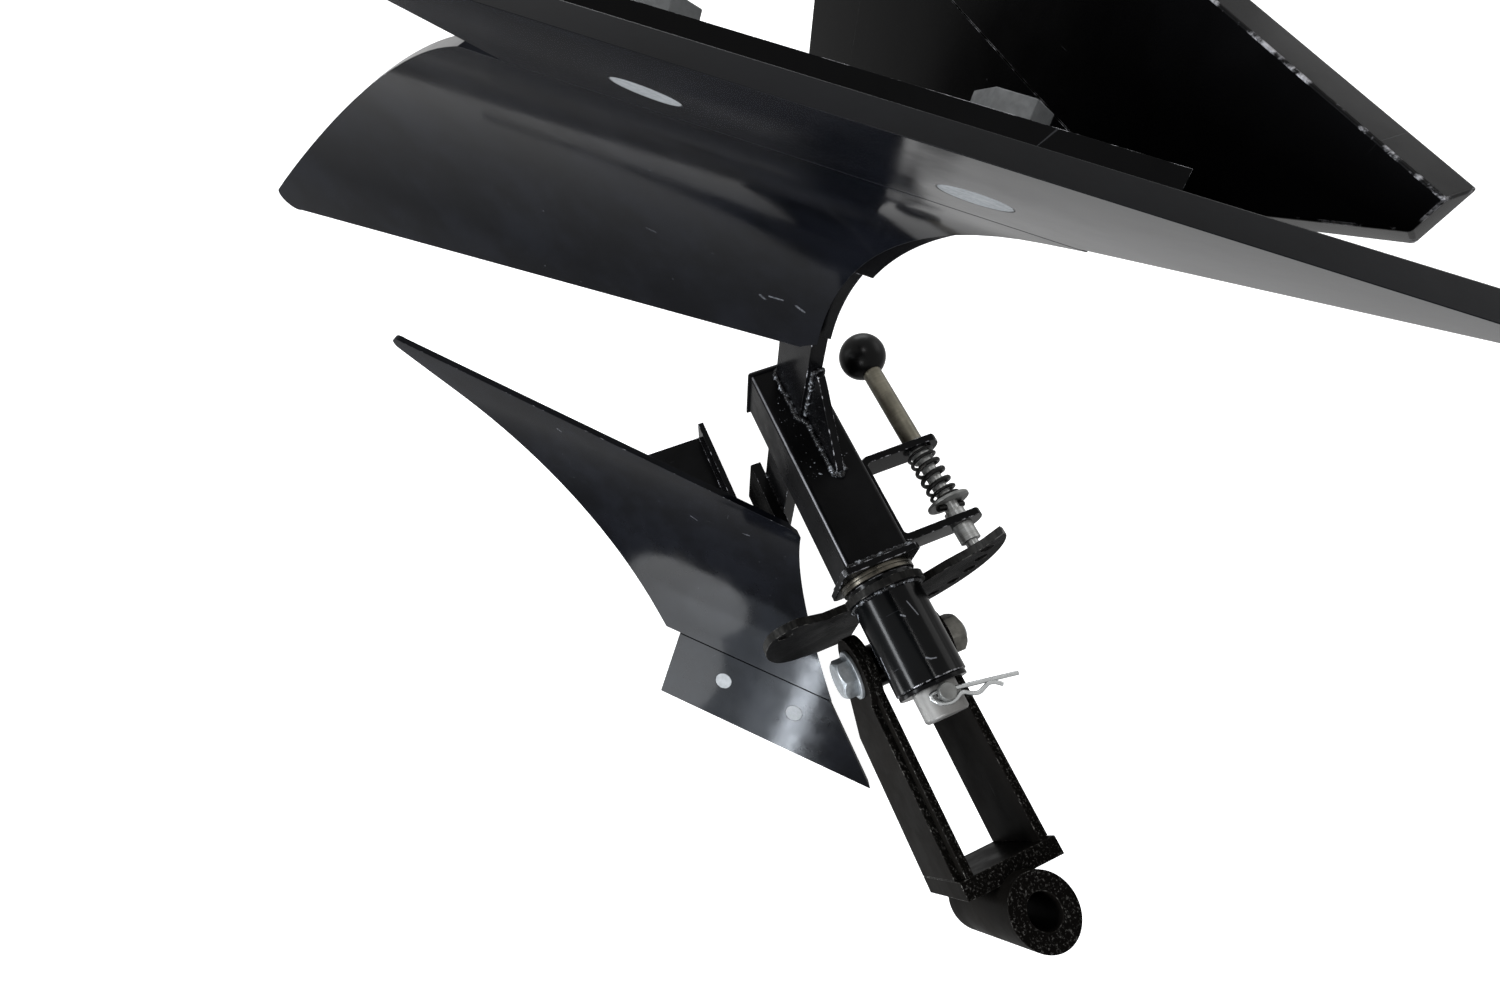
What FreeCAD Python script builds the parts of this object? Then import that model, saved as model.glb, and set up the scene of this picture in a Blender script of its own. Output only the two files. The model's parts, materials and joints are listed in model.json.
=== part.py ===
import FreeCAD, Part
import math
import os

V = FreeCAD.Vector

# Reversible plough for a walking tractor, millimetres.
# +X is the direction of travel, +Y the left side, +Z up.
# The sizes are taken from the turnover axis at the front end of the beam, where x, y and z are 0.
# At the end the whole part is moved so that its origin is the middle of the hitch bore.
# The lower bottom turns the slice to -Y, the upper one is its mirror image in the plane z = 0.

# Clearances
RUN = 0.05
SIDE_GAP = 0.4
NOSE_GAP = 0.4

# Beam and its end pieces
BEAM_LENGTH = 176.0
BEAM_SIZE = 50.0
BEAM_WALL = 4.0
BEAM_CORNER = 4.0
CAP_THICKNESS = 4.5
CAP_SIZE = 54.0
CAP_CHAMFER = 2.5
CAP_SPIGOT = 12.0
FLANGE_THICKNESS = 5.0
FLANGE_SIZE = 60.0
FLANGE_CORNER = 3.0

# Turnover pivot
SHAFT_DIAMETER = 32.0
SHAFT_FRONT = 113.0
RING_THICKNESS = 3.0
RING_DIAMETER = 56.0
RING_COUNT = 2
SLEEVE_DIAMETER = 52.0
SLEEVE_LENGTH = 78.0
END_WASHER_THICKNESS = 3.0
END_WASHER_DIAMETER = 50.0
PIN_DIAMETER = 12.0
PIN_LENGTH = 48.0
PIN_SETBACK = 13.5
CLIP_WIRE = 3.0
CLIP_REACH = 58.0
CLIP_HEIGHT = 17.0
CLIP_TURN = 9.0

# Index plate
INDEX_SETBACK = 4.6
INDEX_THICKNESS = 6.0
LOCK_RADIUS = 80.0
INDEX_EDGE = 14.5
INDEX_RADIUS = LOCK_RADIUS + INDEX_EDGE
INDEX_LAND = 9.0
INDEX_HUB = 31.0
INDEX_PITCH = 15.0
INDEX_HOLE = 10.8
EAR_EDGE = 14.0
EAR_REACH = LOCK_RADIUS + EAR_EDGE

# Lock pin and its bracket
LOCK_ANGLE = 0.0
LOCK_DIAMETER = 16.0
LOCK_WAIST = 12.0
LOCK_NOSE = 10.0
LOCK_NOSE_LENGTH = 8.5
LOCK_COLLAR = 26.0
LOCK_HANDLE = 95.0
KNOB_DIAMETER = 40.0
BRACKET_REAR = 82.0
BRACKET_FRONT = 6.5
BRACKET_STOCK = 6.0
BRACKET_WIDTH = 27.0
BRACKET_EYE = 17.0
BRACKET_BEND = 9.0
SPRING_WIRE = 2.4
SPRING_MEAN = 20.6
SPRING_LENGTH = 47.0
WASHER_DIAMETER = 34.0
WASHER_THICKNESS = 2.5
ROLL_PIN_DIAMETER = 5.0
ROLL_PIN_LENGTH = 27.0

# Legs and gussets
LEG_REAR = 172.0
LEG_WIDTH = 46.0
LEG_RIGHT = -5.0
LEG_THICKNESS = 12.0
GUSSET_RIGHT = 0.5
GUSSET_THICKNESS = 6.0
GUSSET_LENGTH = 56.0
GUSSET_HEIGHT = 58.0

# Plough bottoms
HALF_HEIGHT = 400.0
UPPER_SET_BACK = 18.0
CUT_ANGLE = 43.4
SHARE_SLOPE = 45.0
SHARE_WIDTH = 86.0
SHARE_EDGE = 89.0
SHARE_WING = -168.0
SHARE_TIP = 108.0
SHARE_HEEL = 24.0
SKIN = 6.0
JOINT_GAP = 1.2
BOARD_FLAT = 16.0
BOARD_TOP = 62.8
SHIN_PLANE = -1.5
SHIN_CORNER = 6.5
WING_TIP = -518.0
TOP_RISE = 0.137
TOP_LEVEL = -145.5
BOLT_ROW = 51.0
BOLT_WING = -99.0
BOLT_TIP = -8.0
BOLT_HEAD = 20.0
BOLT_SHANK = 10.0
FROG_THICKNESS = 8.0
FROG_LOW = 26.0
FROG_HIGH = 98.0
FROG_WING = -135.0
FROG_TIP = 12.0
STAY_REAR = 186.0
STAY_THICKNESS = 11.0
STAY_TOP = 144.0
STAY_BOTTOM = 215.0
SIDE_THICKNESS = 8.0
SIDE_HEIGHT = 45.0
SIDE_HEEL = 379.0
SOLE_HEEL = 379.0
SOLE_WIDTH = 94.0
SOLE_FRONT = 230.0

# Pitch pivot, cheeks and hitch
PITCH_X = 58.0
PITCH_Z = -42.0
BUSH_DIAMETER = 32.0
CHEEK_INSIDE = 51.0
CHEEK_THICKNESS = 6.0
CHEEK_ROUND = 27.0
CHEEK_TOP = -25.0
CHEEK_BOTTOM = -119.0
CHEEK_FRONT = 206.0
SIDE_PLATE_THICKNESS = 5.0
SIDE_PLATE_TOP = -36.0
PITCH_BOLT = 18.0
PITCH_HEAD = 27.0
PITCH_HEAD_TURN = 24.0
PITCH_HEAD_HEIGHT = 11.0
PITCH_NUT_HEIGHT = 14.0
PITCH_WASHER = 37.0
PITCH_WASHER_THICKNESS = 3.0
HITCH_PLATE_THICKNESS = 12.0
HITCH_TUBE_DIAMETER = 46.0
HITCH_BORE = 22.2
HITCH_TUBE_HEIGHT = 130.0

# Placements that follow from the sizes above
half_beam = BEAM_SIZE / 2
ring_rear = FLANGE_THICKNESS
sleeve_rear = ring_rear + RING_COUNT * RING_THICKNESS + SIDE_GAP
sleeve_front = sleeve_rear + SLEEVE_LENGTH
washer_rear = sleeve_front + SIDE_GAP
washer_front = washer_rear + END_WASHER_THICKNESS
pin_x = SHAFT_FRONT - PIN_SETBACK
index_rear = sleeve_rear + INDEX_SETBACK
index_front = index_rear + INDEX_THICKNESS
lock_y = LOCK_RADIUS * math.cos(math.radians(LOCK_ANGLE))
lock_z = LOCK_RADIUS * math.sin(math.radians(LOCK_ANGLE))
eye_rear = -BRACKET_REAR
eye_rear_front = eye_rear + BRACKET_STOCK
eye_front_front = -BRACKET_FRONT
eye_front = eye_front_front - BRACKET_STOCK
lock_tip = index_rear - NOSE_GAP
cut = math.radians(CUT_ANGLE)
slope = math.radians(SHARE_SLOPE)


def box(x0, x1, y0, y1, z0, z1):
    return Part.makeBox(x1 - x0, y1 - y0, z1 - z0, V(x0, y0, z0))


def rod_x(radius, x0, x1, y=0.0, z=0.0):
    return Part.makeCylinder(radius, x1 - x0, V(x0, y, z), V(1, 0, 0))


def rod_y(radius, y0, y1, x=0.0, z=0.0):
    return Part.makeCylinder(radius, y1 - y0, V(x, y0, z), V(0, 1, 0))


def rod_z(radius, z0, z1, x=0.0, y=0.0):
    return Part.makeCylinder(radius, z1 - z0, V(x, y, z0), V(0, 0, 1))


def plate(points, shift):
    wire = Part.makePolygon([V(*p) for p in points] + [V(*points[0])])
    return Part.Face(wire).extrude(V(*shift))


def plate_of_edges(edges, shift):
    return Part.Face(Part.Wire(edges)).extrude(V(*shift))


def line(a, b):
    return Part.LineSegment(V(*a), V(*b)).toShape()


def arc(a, b, c):
    return Part.Arc(V(*a), V(*b), V(*c)).toShape()


def edges_along(shape, axis):
    found = []
    for edge in shape.Edges:
        span = edge.Vertexes[-1].Point.sub(edge.Vertexes[0].Point)
        if span.Length > 1e-6 and abs(abs(span.dot(axis)) / span.Length - 1) < 1e-6:
            found.append(edge)
    return found


def hexagon_y(across, y0, y1, x, z):
    radius = across / math.sqrt(3)
    points = []
    for k in range(6):
        a = math.radians(60 * k - PITCH_HEAD_TURN)
        points.append((x + radius * math.cos(a), y0, z + radius * math.sin(a)))
    return plate(points, (0, y1 - y0, 0))


def polar_x(x, radius, degrees):
    a = math.radians(degrees)
    return (x, radius * math.cos(a), radius * math.sin(a))


def one_solid(shape):
    shape = shape.removeSplitter()
    if len(shape.Solids) == 1:
        return shape.Solids[0]
    return shape


pieces = {}

# Beam with rounded edges
outer = box(-BEAM_LENGTH, 0, -half_beam, half_beam, -half_beam, half_beam)
outer = outer.makeFillet(BEAM_CORNER, edges_along(outer, V(1, 0, 0)))
inside = half_beam - BEAM_WALL
inner = box(-BEAM_LENGTH - 1, 1, -inside, inside, -inside, inside)
pieces["beam"] = one_solid(outer.cut(inner))

# Rear cap with a spigot inside the tube
half_cap = CAP_SIZE / 2
cap_rear = -BEAM_LENGTH - CAP_THICKNESS
cap = box(cap_rear, -BEAM_LENGTH, -half_cap, half_cap, -half_cap, half_cap)
cap = cap.makeChamfer(CAP_CHAMFER, [e for e in cap.Edges if abs(e.CenterOfMass.x - cap_rear) < 0.01])
spigot = box(-BEAM_LENGTH, -BEAM_LENGTH + CAP_SPIGOT, -inside, inside, -inside, inside)
pieces["beam_end_cap"] = one_solid(cap.fuse(spigot))

# Flange that closes the beam at the pivot
half_flange = FLANGE_SIZE / 2
flange = box(0, FLANGE_THICKNESS, -half_flange, half_flange, -half_flange, half_flange)
flange = flange.makeChamfer(FLANGE_CORNER, edges_along(flange, V(1, 0, 0)))
pieces["beam_flange"] = flange

# Turnover shaft, thrust rings, end washer, retaining pin and its clip
shaft = rod_x(SHAFT_DIAMETER / 2, FLANGE_THICKNESS, SHAFT_FRONT)
shaft = shaft.makeChamfer(1.5, [e for e in shaft.Edges if abs(e.CenterOfMass.x - SHAFT_FRONT) < 0.01])
shaft = shaft.cut(rod_z(PIN_DIAMETER / 2, -40, 40, pin_x))
pieces["pivot_shaft"] = one_solid(shaft)
for number in range(RING_COUNT):
    x0 = ring_rear + number * RING_THICKNESS
    ring = rod_x(RING_DIAMETER / 2, x0, x0 + RING_THICKNESS)
    ring = ring.cut(rod_x(SHAFT_DIAMETER / 2, x0 - 1, x0 + RING_THICKNESS + 1))
    pieces["thrust_ring_" + str(number + 1)] = ring
end_washer = rod_x(END_WASHER_DIAMETER / 2, washer_rear, washer_front)
end_washer = end_washer.cut(rod_x(SHAFT_DIAMETER / 2, washer_rear - 1, washer_front + 1))
pieces["end_washer"] = end_washer
pin = rod_z(PIN_DIAMETER / 2, -PIN_LENGTH / 2, PIN_LENGTH / 2, pin_x)
pin = pin.makeChamfer(0.8, [e for e in pin.Edges if abs(abs(e.CenterOfMass.z) - PIN_LENGTH / 2) < 0.01])
clip = rod_y(CLIP_WIRE / 2, -PIN_DIAMETER, CLIP_REACH, pin_x, CLIP_HEIGHT)
clip.rotate(V(pin_x, 0, CLIP_HEIGHT), V(0, 0, 1), -CLIP_TURN)
pieces["retaining_pin"] = one_solid(pin.cut(clip))
pieces["hairpin_clip"] = clip

# Sleeve that turns on the shaft
sleeve = rod_x(SLEEVE_DIAMETER / 2, sleeve_rear, sleeve_front)
bush = rod_y(BUSH_DIAMETER / 2, -CHEEK_INSIDE / 2 + SIDE_GAP, CHEEK_INSIDE / 2 - SIDE_GAP, PITCH_X, PITCH_Z)
bore = rod_x(SHAFT_DIAMETER / 2 + RUN, sleeve_rear - 1, sleeve_front + 1)
pieces["sleeve"] = one_solid(sleeve.cut(bore))
bush_seat = bush.cut(rod_x(SLEEVE_DIAMETER / 2, sleeve_rear, sleeve_front))
pieces["pitch_bush"] = one_solid(bush_seat.cut(rod_y(PITCH_BOLT / 2 + RUN, -60, 60, PITCH_X, PITCH_Z)))

# Index plate: a sector with the row of lock holes on the left and a rounded ear on the right
last_hole = polar_x(index_rear, LOCK_RADIUS, LOCK_ANGLE + INDEX_PITCH)
margin = INDEX_HOLE / 2 + INDEX_LAND
land_angle = math.degrees(math.asin(margin / LOCK_RADIUS))
tip_angle = LOCK_ANGLE + INDEX_PITCH + land_angle - 1.0
low_angle = LOCK_ANGLE - 3 * INDEX_PITCH - land_angle + 1.0
rise = []
for reach, turned_back in ((0.34, 31.0), (0.526, 11.6), (0.709, 7.0), (0.828, 2.6), (0.986, -5.2)):
    rise.append(polar_x(index_rear, reach * INDEX_RADIUS, tip_angle - turned_back))
corner = polar_x(index_rear, INDEX_RADIUS, tip_angle)
middle = polar_x(index_rear, INDEX_RADIUS, (tip_angle + low_angle) / 2)
low_corner = polar_x(index_rear, INDEX_RADIUS, low_angle)
low_root = polar_x(index_rear, INDEX_HUB - 4, low_angle)
sector_edges = [line(a, b) for a, b in zip(rise, rise[1:] + [corner])]
sector_edges += [arc(corner, middle, low_corner), line(low_corner, low_root), line(low_root, rise[0])]
index_plate = plate_of_edges(sector_edges, (INDEX_THICKNESS, 0, 0))
ear_outline = ((-0.12, -0.24), (-0.20, 0.02), (-0.52, 0.02), (-0.745, 0.16), (-0.90, 0.10), (-0.98, -0.05),
               (-0.995, -0.32), (-0.90, -0.76), (-0.80, -0.93), (-0.66, -1.03), (-0.43, -1.11), (-0.13, -1.10))
ear_at = [(index_rear, y * EAR_REACH, z * EAR_REACH) for y, z in ear_outline]
ear_edges = [line(ear_at[0], ear_at[1]), line(ear_at[1], ear_at[2]), line(ear_at[2], ear_at[3])]
ear_edges += [arc(ear_at[3], ear_at[4], ear_at[5]), arc(ear_at[5], ear_at[6], ear_at[7])]
ear_edges += [arc(ear_at[7], ear_at[8], ear_at[9]), line(ear_at[9], ear_at[10])]
ear_edges += [line(ear_at[10], ear_at[11]), line(ear_at[11], ear_at[0])]
ear = plate_of_edges(ear_edges, (INDEX_THICKNESS, 0, 0))
hub = rod_x(INDEX_HUB, index_rear, index_front)
index_plate = index_plate.fuse(ear).fuse(hub)
index_plate = index_plate.cut(rod_x(SLEEVE_DIAMETER / 2, index_rear - 1, index_front + 1))
for step in range(-3, 2):
    p = polar_x(0, LOCK_RADIUS, LOCK_ANGLE + step * INDEX_PITCH)
    index_plate = index_plate.cut(rod_x(INDEX_HOLE / 2, index_rear - 1, index_front + 1, p[1], p[2]))
p = polar_x(0, LOCK_RADIUS, LOCK_ANGLE + 180)
index_plate = index_plate.cut(rod_x(INDEX_HOLE / 2, index_rear - 1, index_front + 1, p[1], p[2]))
pieces["index_plate"] = one_solid(index_plate)

# Lock bracket: flat bar bent to a U whose web lies on the side of the beam
low = lock_z - BRACKET_WIDTH / 2
high = lock_z + BRACKET_WIDTH / 2
eye_end = lock_y + BRACKET_EYE
bend_in = BRACKET_BEND - BRACKET_STOCK
web_y = half_beam
turn = BRACKET_BEND * (1 - math.cos(math.radians(45)))
turn_in = BRACKET_STOCK + bend_in * (1 - math.cos(math.radians(45)))
inner_y = web_y + BRACKET_STOCK
u_edges = [line((eye_rear, eye_end, low), (eye_rear, web_y + BRACKET_BEND, low))]
u_edges.append(arc((eye_rear, web_y + BRACKET_BEND, low), (eye_rear + turn, web_y + turn, low),
                   (eye_rear + BRACKET_BEND, web_y, low)))
u_edges.append(line((eye_rear + BRACKET_BEND, web_y, low), (eye_front_front - BRACKET_BEND, web_y, low)))
u_edges.append(arc((eye_front_front - BRACKET_BEND, web_y, low), (eye_front_front - turn, web_y + turn, low),
                   (eye_front_front, web_y + BRACKET_BEND, low)))
u_edges.append(line((eye_front_front, web_y + BRACKET_BEND, low), (eye_front_front, eye_end, low)))
u_edges.append(line((eye_front_front, eye_end, low), (eye_front, eye_end, low)))
u_edges.append(line((eye_front, eye_end, low), (eye_front, inner_y + bend_in, low)))
u_edges.append(arc((eye_front, inner_y + bend_in, low), (eye_front_front - turn_in, web_y + turn_in, low),
                   (eye_front - bend_in, inner_y, low)))
u_edges.append(line((eye_front - bend_in, inner_y, low), (eye_rear_front + bend_in, inner_y, low)))
u_edges.append(arc((eye_rear_front + bend_in, inner_y, low), (eye_rear + turn_in, web_y + turn_in, low),
                   (eye_rear_front, inner_y + bend_in, low)))
u_edges.append(line((eye_rear_front, inner_y + bend_in, low), (eye_rear_front, eye_end, low)))
u_edges.append(line((eye_rear_front, eye_end, low), (eye_rear, eye_end, low)))
bracket = plate_of_edges(u_edges, (0, 0, BRACKET_WIDTH))
rounding = rod_x(BRACKET_EYE, eye_rear - 1, 1, lock_y, lock_z)
rounding = rounding.fuse(box(eye_rear - 1, 1, 0, lock_y, low - 1, high + 1))
bracket = bracket.common(rounding)
bracket = bracket.cut(rod_x(LOCK_DIAMETER / 2 + RUN, eye_rear - 1, 1, lock_y, lock_z))
pieces["lock_bracket"] = one_solid(bracket)

# Lock pin: handle, waist under the spring, collar and nose in one bar
collar_rear = lock_tip - LOCK_NOSE_LENGTH - LOCK_COLLAR
waist_rear = eye_rear_front + 9
knob_x = eye_rear - LOCK_HANDLE
lock = rod_x(LOCK_DIAMETER / 2, knob_x, waist_rear, lock_y, lock_z)
lock = lock.fuse(rod_x(LOCK_WAIST / 2, waist_rear, collar_rear, lock_y, lock_z))
lock = lock.fuse(rod_x(LOCK_DIAMETER / 2, collar_rear, lock_tip - LOCK_NOSE_LENGTH, lock_y, lock_z))
lock = lock.fuse(rod_x(LOCK_NOSE / 2, lock_tip - LOCK_NOSE_LENGTH, lock_tip, lock_y, lock_z))
spring_front = eye_rear_front + SPRING_LENGTH
roll_x = spring_front + WASHER_THICKNESS + ROLL_PIN_DIAMETER / 2
roll = rod_z(ROLL_PIN_DIAMETER / 2, lock_z - ROLL_PIN_LENGTH / 2, lock_z + ROLL_PIN_LENGTH / 2, roll_x, lock_y)
roll.rotate(V(roll_x, lock_y, lock_z), V(1, 0, 0), 70)
pieces["roll_pin"] = roll
pieces["lock_pin"] = one_solid(lock.cut(roll))
knob = Part.makeSphere(KNOB_DIAMETER / 2, V(knob_x, lock_y, lock_z))
knob = knob.cut(rod_x(LOCK_DIAMETER / 2, knob_x, knob_x + 40, lock_y, lock_z))
knob = knob.cut(box(knob_x + KNOB_DIAMETER / 2 - 2, knob_x + 60, lock_y - 40, lock_y + 40, lock_z - 40, lock_z + 40))
pieces["ball_knob"] = one_solid(knob)
spring_washer = rod_x(WASHER_DIAMETER / 2, spring_front, spring_front + WASHER_THICKNESS, lock_y, lock_z)
spring_washer = spring_washer.cut(rod_x(LOCK_WAIST / 2, spring_front - 1, spring_front + 9, lock_y, lock_z))
pieces["spring_washer"] = spring_washer

# Compression spring as a tube of the coil's outer and inner diameter
spring = rod_x((SPRING_MEAN + SPRING_WIRE) / 2, eye_rear_front, spring_front, lock_y, lock_z)
spring = spring.cut(rod_x((SPRING_MEAN - SPRING_WIRE) / 2, eye_rear_front - 1, spring_front + 1, lock_y, lock_z))
pieces["lock_spring"] = one_solid(spring)

# Lower plough bottom, built square to its cutting edge and then turned by the cutting angle
edge_y = -SHARE_EDGE
edge_z = -HALF_HEIGHT
along = (math.cos(slope), math.sin(slope))
back = (math.sin(slope), -math.cos(slope))


def on_face(w, depth):
    return (edge_y + w * along[0] + depth * back[0], edge_z + w * along[1] + depth * back[1])


def turned(shape):
    shape = shape.copy()
    shape.rotate(V(0, 0, 0), V(0, 0, 1), CUT_ANGLE)
    return shape


def in_share_plane(shape):
    shape = shape.copy()
    shape.rotate(V(0, 0, 0), V(1, 0, 0), SHARE_SLOPE)
    shape.translate(V(0, edge_y, edge_z))
    return shape


flat_end = on_face(SHARE_WIDTH + BOARD_FLAT, 0)
curve_radius = (BOARD_TOP - flat_end[0]) / (1 - math.sin(slope))
centre = (BOARD_TOP - curve_radius, flat_end[1] + curve_radius * math.cos(slope))


def on_curve(degrees, radius):
    a = math.radians(degrees)
    return (centre[0] + radius * math.cos(a), centre[1] + radius * math.sin(a))


def behind(depth, left, right):
    low_end = on_face(0, depth)
    low_y = low_end[0] + (edge_z - low_end[1]) / math.tan(slope)
    start = on_curve(SHARE_SLOPE - 90, curve_radius + depth)
    middle = on_curve((SHARE_SLOPE - 90) / 2, curve_radius + depth)
    stop = on_curve(0, curve_radius + depth)
    edges = [line((left, low_y, edge_z), (left, start[0], start[1]))]
    edges.append(arc((left, start[0], start[1]), (left, middle[0], middle[1]), (left, stop[0], stop[1])))
    edges.append(line((left, stop[0], stop[1]), (left, stop[0], 0)))
    far = stop[0] - 2 * HALF_HEIGHT
    edges.append(line((left, stop[0], 0), (left, far, 0)))
    edges.append(line((left, far, 0), (left, far, edge_z)))
    edges.append(line((left, far, edge_z), (left, low_y, edge_z)))
    return turned(plate_of_edges(edges, (right - left, 0, 0)))


front_region = behind(SKIN, -640, 400)

# Mouldboard skin from its lower edge up over the curve
left_s = -640
right_s = 200
a0 = on_face(SHARE_WIDTH + JOINT_GAP, 0)
b0 = on_face(SHARE_WIDTH + JOINT_GAP, SKIN)
c_start = on_curve(SHARE_SLOPE - 90, curve_radius)
c_mid = on_curve((SHARE_SLOPE - 90) / 2, curve_radius)
c_stop = on_curve(0, curve_radius)
d_start = on_curve(SHARE_SLOPE - 90, curve_radius + SKIN)
d_mid = on_curve((SHARE_SLOPE - 90) / 2, curve_radius + SKIN)
d_stop = on_curve(0, curve_radius + SKIN)
skin_edges = [line((left_s, a0[0], a0[1]), (left_s, c_start[0], c_start[1]))]
skin_edges.append(arc((left_s, *c_start), (left_s, *c_mid), (left_s, *c_stop)))
skin_edges.append(line((left_s, *c_stop), (left_s, c_stop[0], -40)))
skin_edges.append(line((left_s, c_stop[0], -40), (left_s, d_stop[0], -40)))
skin_edges.append(line((left_s, d_stop[0], -40), (left_s, *d_stop)))
skin_edges.append(arc((left_s, *d_stop), (left_s, *d_mid), (left_s, *d_start)))
skin_edges.append(line((left_s, *d_start), (left_s, *b0)))
skin_edges.append(line((left_s, *b0), (left_s, *a0)))
skin = plate_of_edges(skin_edges, (right_s - left_s, 0, 0))

# Outline of the mouldboard as it is seen square from the front


def top_line(s):
    return TOP_LEVEL - TOP_RISE * s


low_left = (SHARE_WING - 12.0, a0[1] - 4)
wing_round = 9.0
tip_top = (WING_TIP + 2 * wing_round, top_line(WING_TIP + 2 * wing_round))
tip_mid = (WING_TIP + wing_round * 0.6, top_line(WING_TIP) - wing_round * 0.6)
tip_low = (WING_TIP + wing_round * 0.7, top_line(WING_TIP) - 2 * wing_round)
wing_mid = ((tip_low[0] + low_left[0]) / 2, (tip_low[1] + low_left[1]) / 2 - 11.0)
outline = [line((right_s, -300, top_line(right_s)), (tip_top[0], -300, tip_top[1]))]
outline.append(arc((tip_top[0], -300, tip_top[1]), (tip_mid[0], -300, tip_mid[1]), (tip_low[0], -300, tip_low[1])))
outline.append(arc((tip_low[0], -300, tip_low[1]), (wing_mid[0], -300, wing_mid[1]), (low_left[0], -300, low_left[1])))
outline.append(line((low_left[0], -300, low_left[1]), (right_s, -300, low_left[1])))
outline.append(line((right_s, -300, low_left[1]), (right_s, -300, top_line(right_s))))
board = skin.common(plate_of_edges(outline, (0, 600, 0)))
board = turned(board)
shin_s = (SHIN_PLANE - BOARD_TOP * math.cos(cut)) / math.sin(cut)
shin_z = top_line(shin_s)
shin_cut = plate([(-800, -800, -600), (-800, SHIN_PLANE, -600), (-800, SHIN_PLANE, shin_z - SHIN_CORNER),
                  (-800, SHIN_PLANE - SHIN_CORNER, shin_z), (-800, SHIN_PLANE - SHIN_CORNER, 0), (-800, -800, 0)],
                 (1200, 0, 0))
board = board.common(shin_cut)
pieces["mouldboard_lower"] = one_solid(board)

# Share with countersunk holes, ground flat under its edge
share = plate([(SHARE_WING, 0, -SKIN), (SHARE_TIP, 0, -SKIN), (SHARE_HEEL, SHARE_WIDTH, -SKIN),
               (SHARE_WING, SHARE_WIDTH, -SKIN)], (0, 0, SKIN))
bolts = None
for s in (BOLT_WING, BOLT_TIP):
    head = Part.makeCone(BOLT_SHANK / 2, BOLT_HEAD / 2, (BOLT_HEAD - BOLT_SHANK) / 2,
                         V(s, BOLT_ROW, -(BOLT_HEAD - BOLT_SHANK) / 2), V(0, 0, 1))
    shank = Part.makeCylinder(BOLT_SHANK / 2, SKIN + FROG_THICKNESS, V(s, BOLT_ROW, -SKIN - FROG_THICKNESS))
    bolt = head.fuse(shank)
    share = share.cut(bolt)
    nut_points = []
    for k in range(6):
        a = math.radians(60 * k)
        nut_points.append((s + 9.8 * math.cos(a), BOLT_ROW + 9.8 * math.sin(a), -SKIN - FROG_THICKNESS))
    bolt = bolt.fuse(plate(nut_points, (0, 0, -8)))
    bolts = bolt if bolts is None else bolts.fuse(bolt)
share = in_share_plane(share)
share = share.cut(box(-300, 300, -300, 300, edge_z - 50, edge_z))
pieces["share_lower"] = one_solid(turned(share))
pieces["share_bolts_lower"] = turned(in_share_plane(bolts))

# Frog: the plate behind share and mouldboard with an upright that joins it to the leg
leg_left = LEG_RIGHT + LEG_THICKNESS
leg_front = -LEG_REAR + LEG_WIDTH
frog_face = plate([(FROG_WING, FROG_LOW, -SKIN), (FROG_TIP, FROG_LOW, -SKIN), (FROG_TIP, FROG_HIGH, -SKIN),
                   (FROG_WING, FROG_HIGH, -SKIN)], (0, 0, -FROG_THICKNESS))
frog_face = turned(in_share_plane(frog_face))
side_top = -HALF_HEIGHT + SIDE_HEIGHT
side_left = SHIN_PLANE
side_right = side_left - SIDE_THICKNESS
land_region = box(-800, 400, side_left, 800, -800, 0)
upright = box(leg_front, 60, side_right, side_left, side_top, -STAY_BOTTOM)
upright = upright.cut(front_region)


def frog_with(face, bolts_through):
    return one_solid(face.fuse(upright).cut(bolts_through).cut(land_region))


pieces["frog_lower"] = frog_with(frog_face, pieces["share_bolts_lower"])

# Leg, gusset and the stay between leg and mouldboard
pieces["leg_lower"] = box(-LEG_REAR, leg_front, LEG_RIGHT, leg_left, side_top, -half_beam)
gusset_tip = leg_front + GUSSET_LENGTH
gusset_end = -half_beam - GUSSET_HEIGHT
gusset = [(leg_front, GUSSET_RIGHT, -half_beam), (gusset_tip, GUSSET_RIGHT, -half_beam)]
gusset.append((gusset_tip - 3, GUSSET_RIGHT, -half_beam - 7))
gusset.append((leg_front + 11, GUSSET_RIGHT, gusset_end + 4))
gusset.append((leg_front + 6, GUSSET_RIGHT, gusset_end))
gusset.append((leg_front, GUSSET_RIGHT, gusset_end))
pieces["gusset_lower"] = plate(gusset, (0, GUSSET_THICKNESS, 0))
stay = box(-STAY_REAR, 0, LEG_RIGHT - STAY_THICKNESS, LEG_RIGHT, -STAY_BOTTOM, -STAY_TOP)
pieces["stay_lower"] = one_solid(stay.cut(front_region))

# Landside angle: an upright bar against the furrow wall and a sole flange
side_bar = box(-SIDE_HEEL, 80, side_right, side_left, edge_z, side_top)
frog_region = behind(SKIN + FROG_THICKNESS, -640, 400)
side_bar = side_bar.cut(frog_region)
sole = plate([(-SOLE_HEEL, side_right, edge_z), (-SOLE_HEEL, side_right - SOLE_WIDTH, edge_z),
              (-SOLE_FRONT, side_right - SOLE_WIDTH, edge_z), (-SOLE_FRONT + 150, side_right, edge_z)],
             (0, 0, SIDE_THICKNESS))
sole = sole.cut(frog_region)
pieces["landside_lower"] = one_solid(side_bar.fuse(sole))

# The upper bottom is the mirror image of the lower one, bolted on a little further back along its cutting edge
def moved_back(shape):
    shape = shape.copy()
    shape.translate(V(-UPPER_SET_BACK * math.cos(cut), -UPPER_SET_BACK * math.sin(cut), 0))
    return shape


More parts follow.
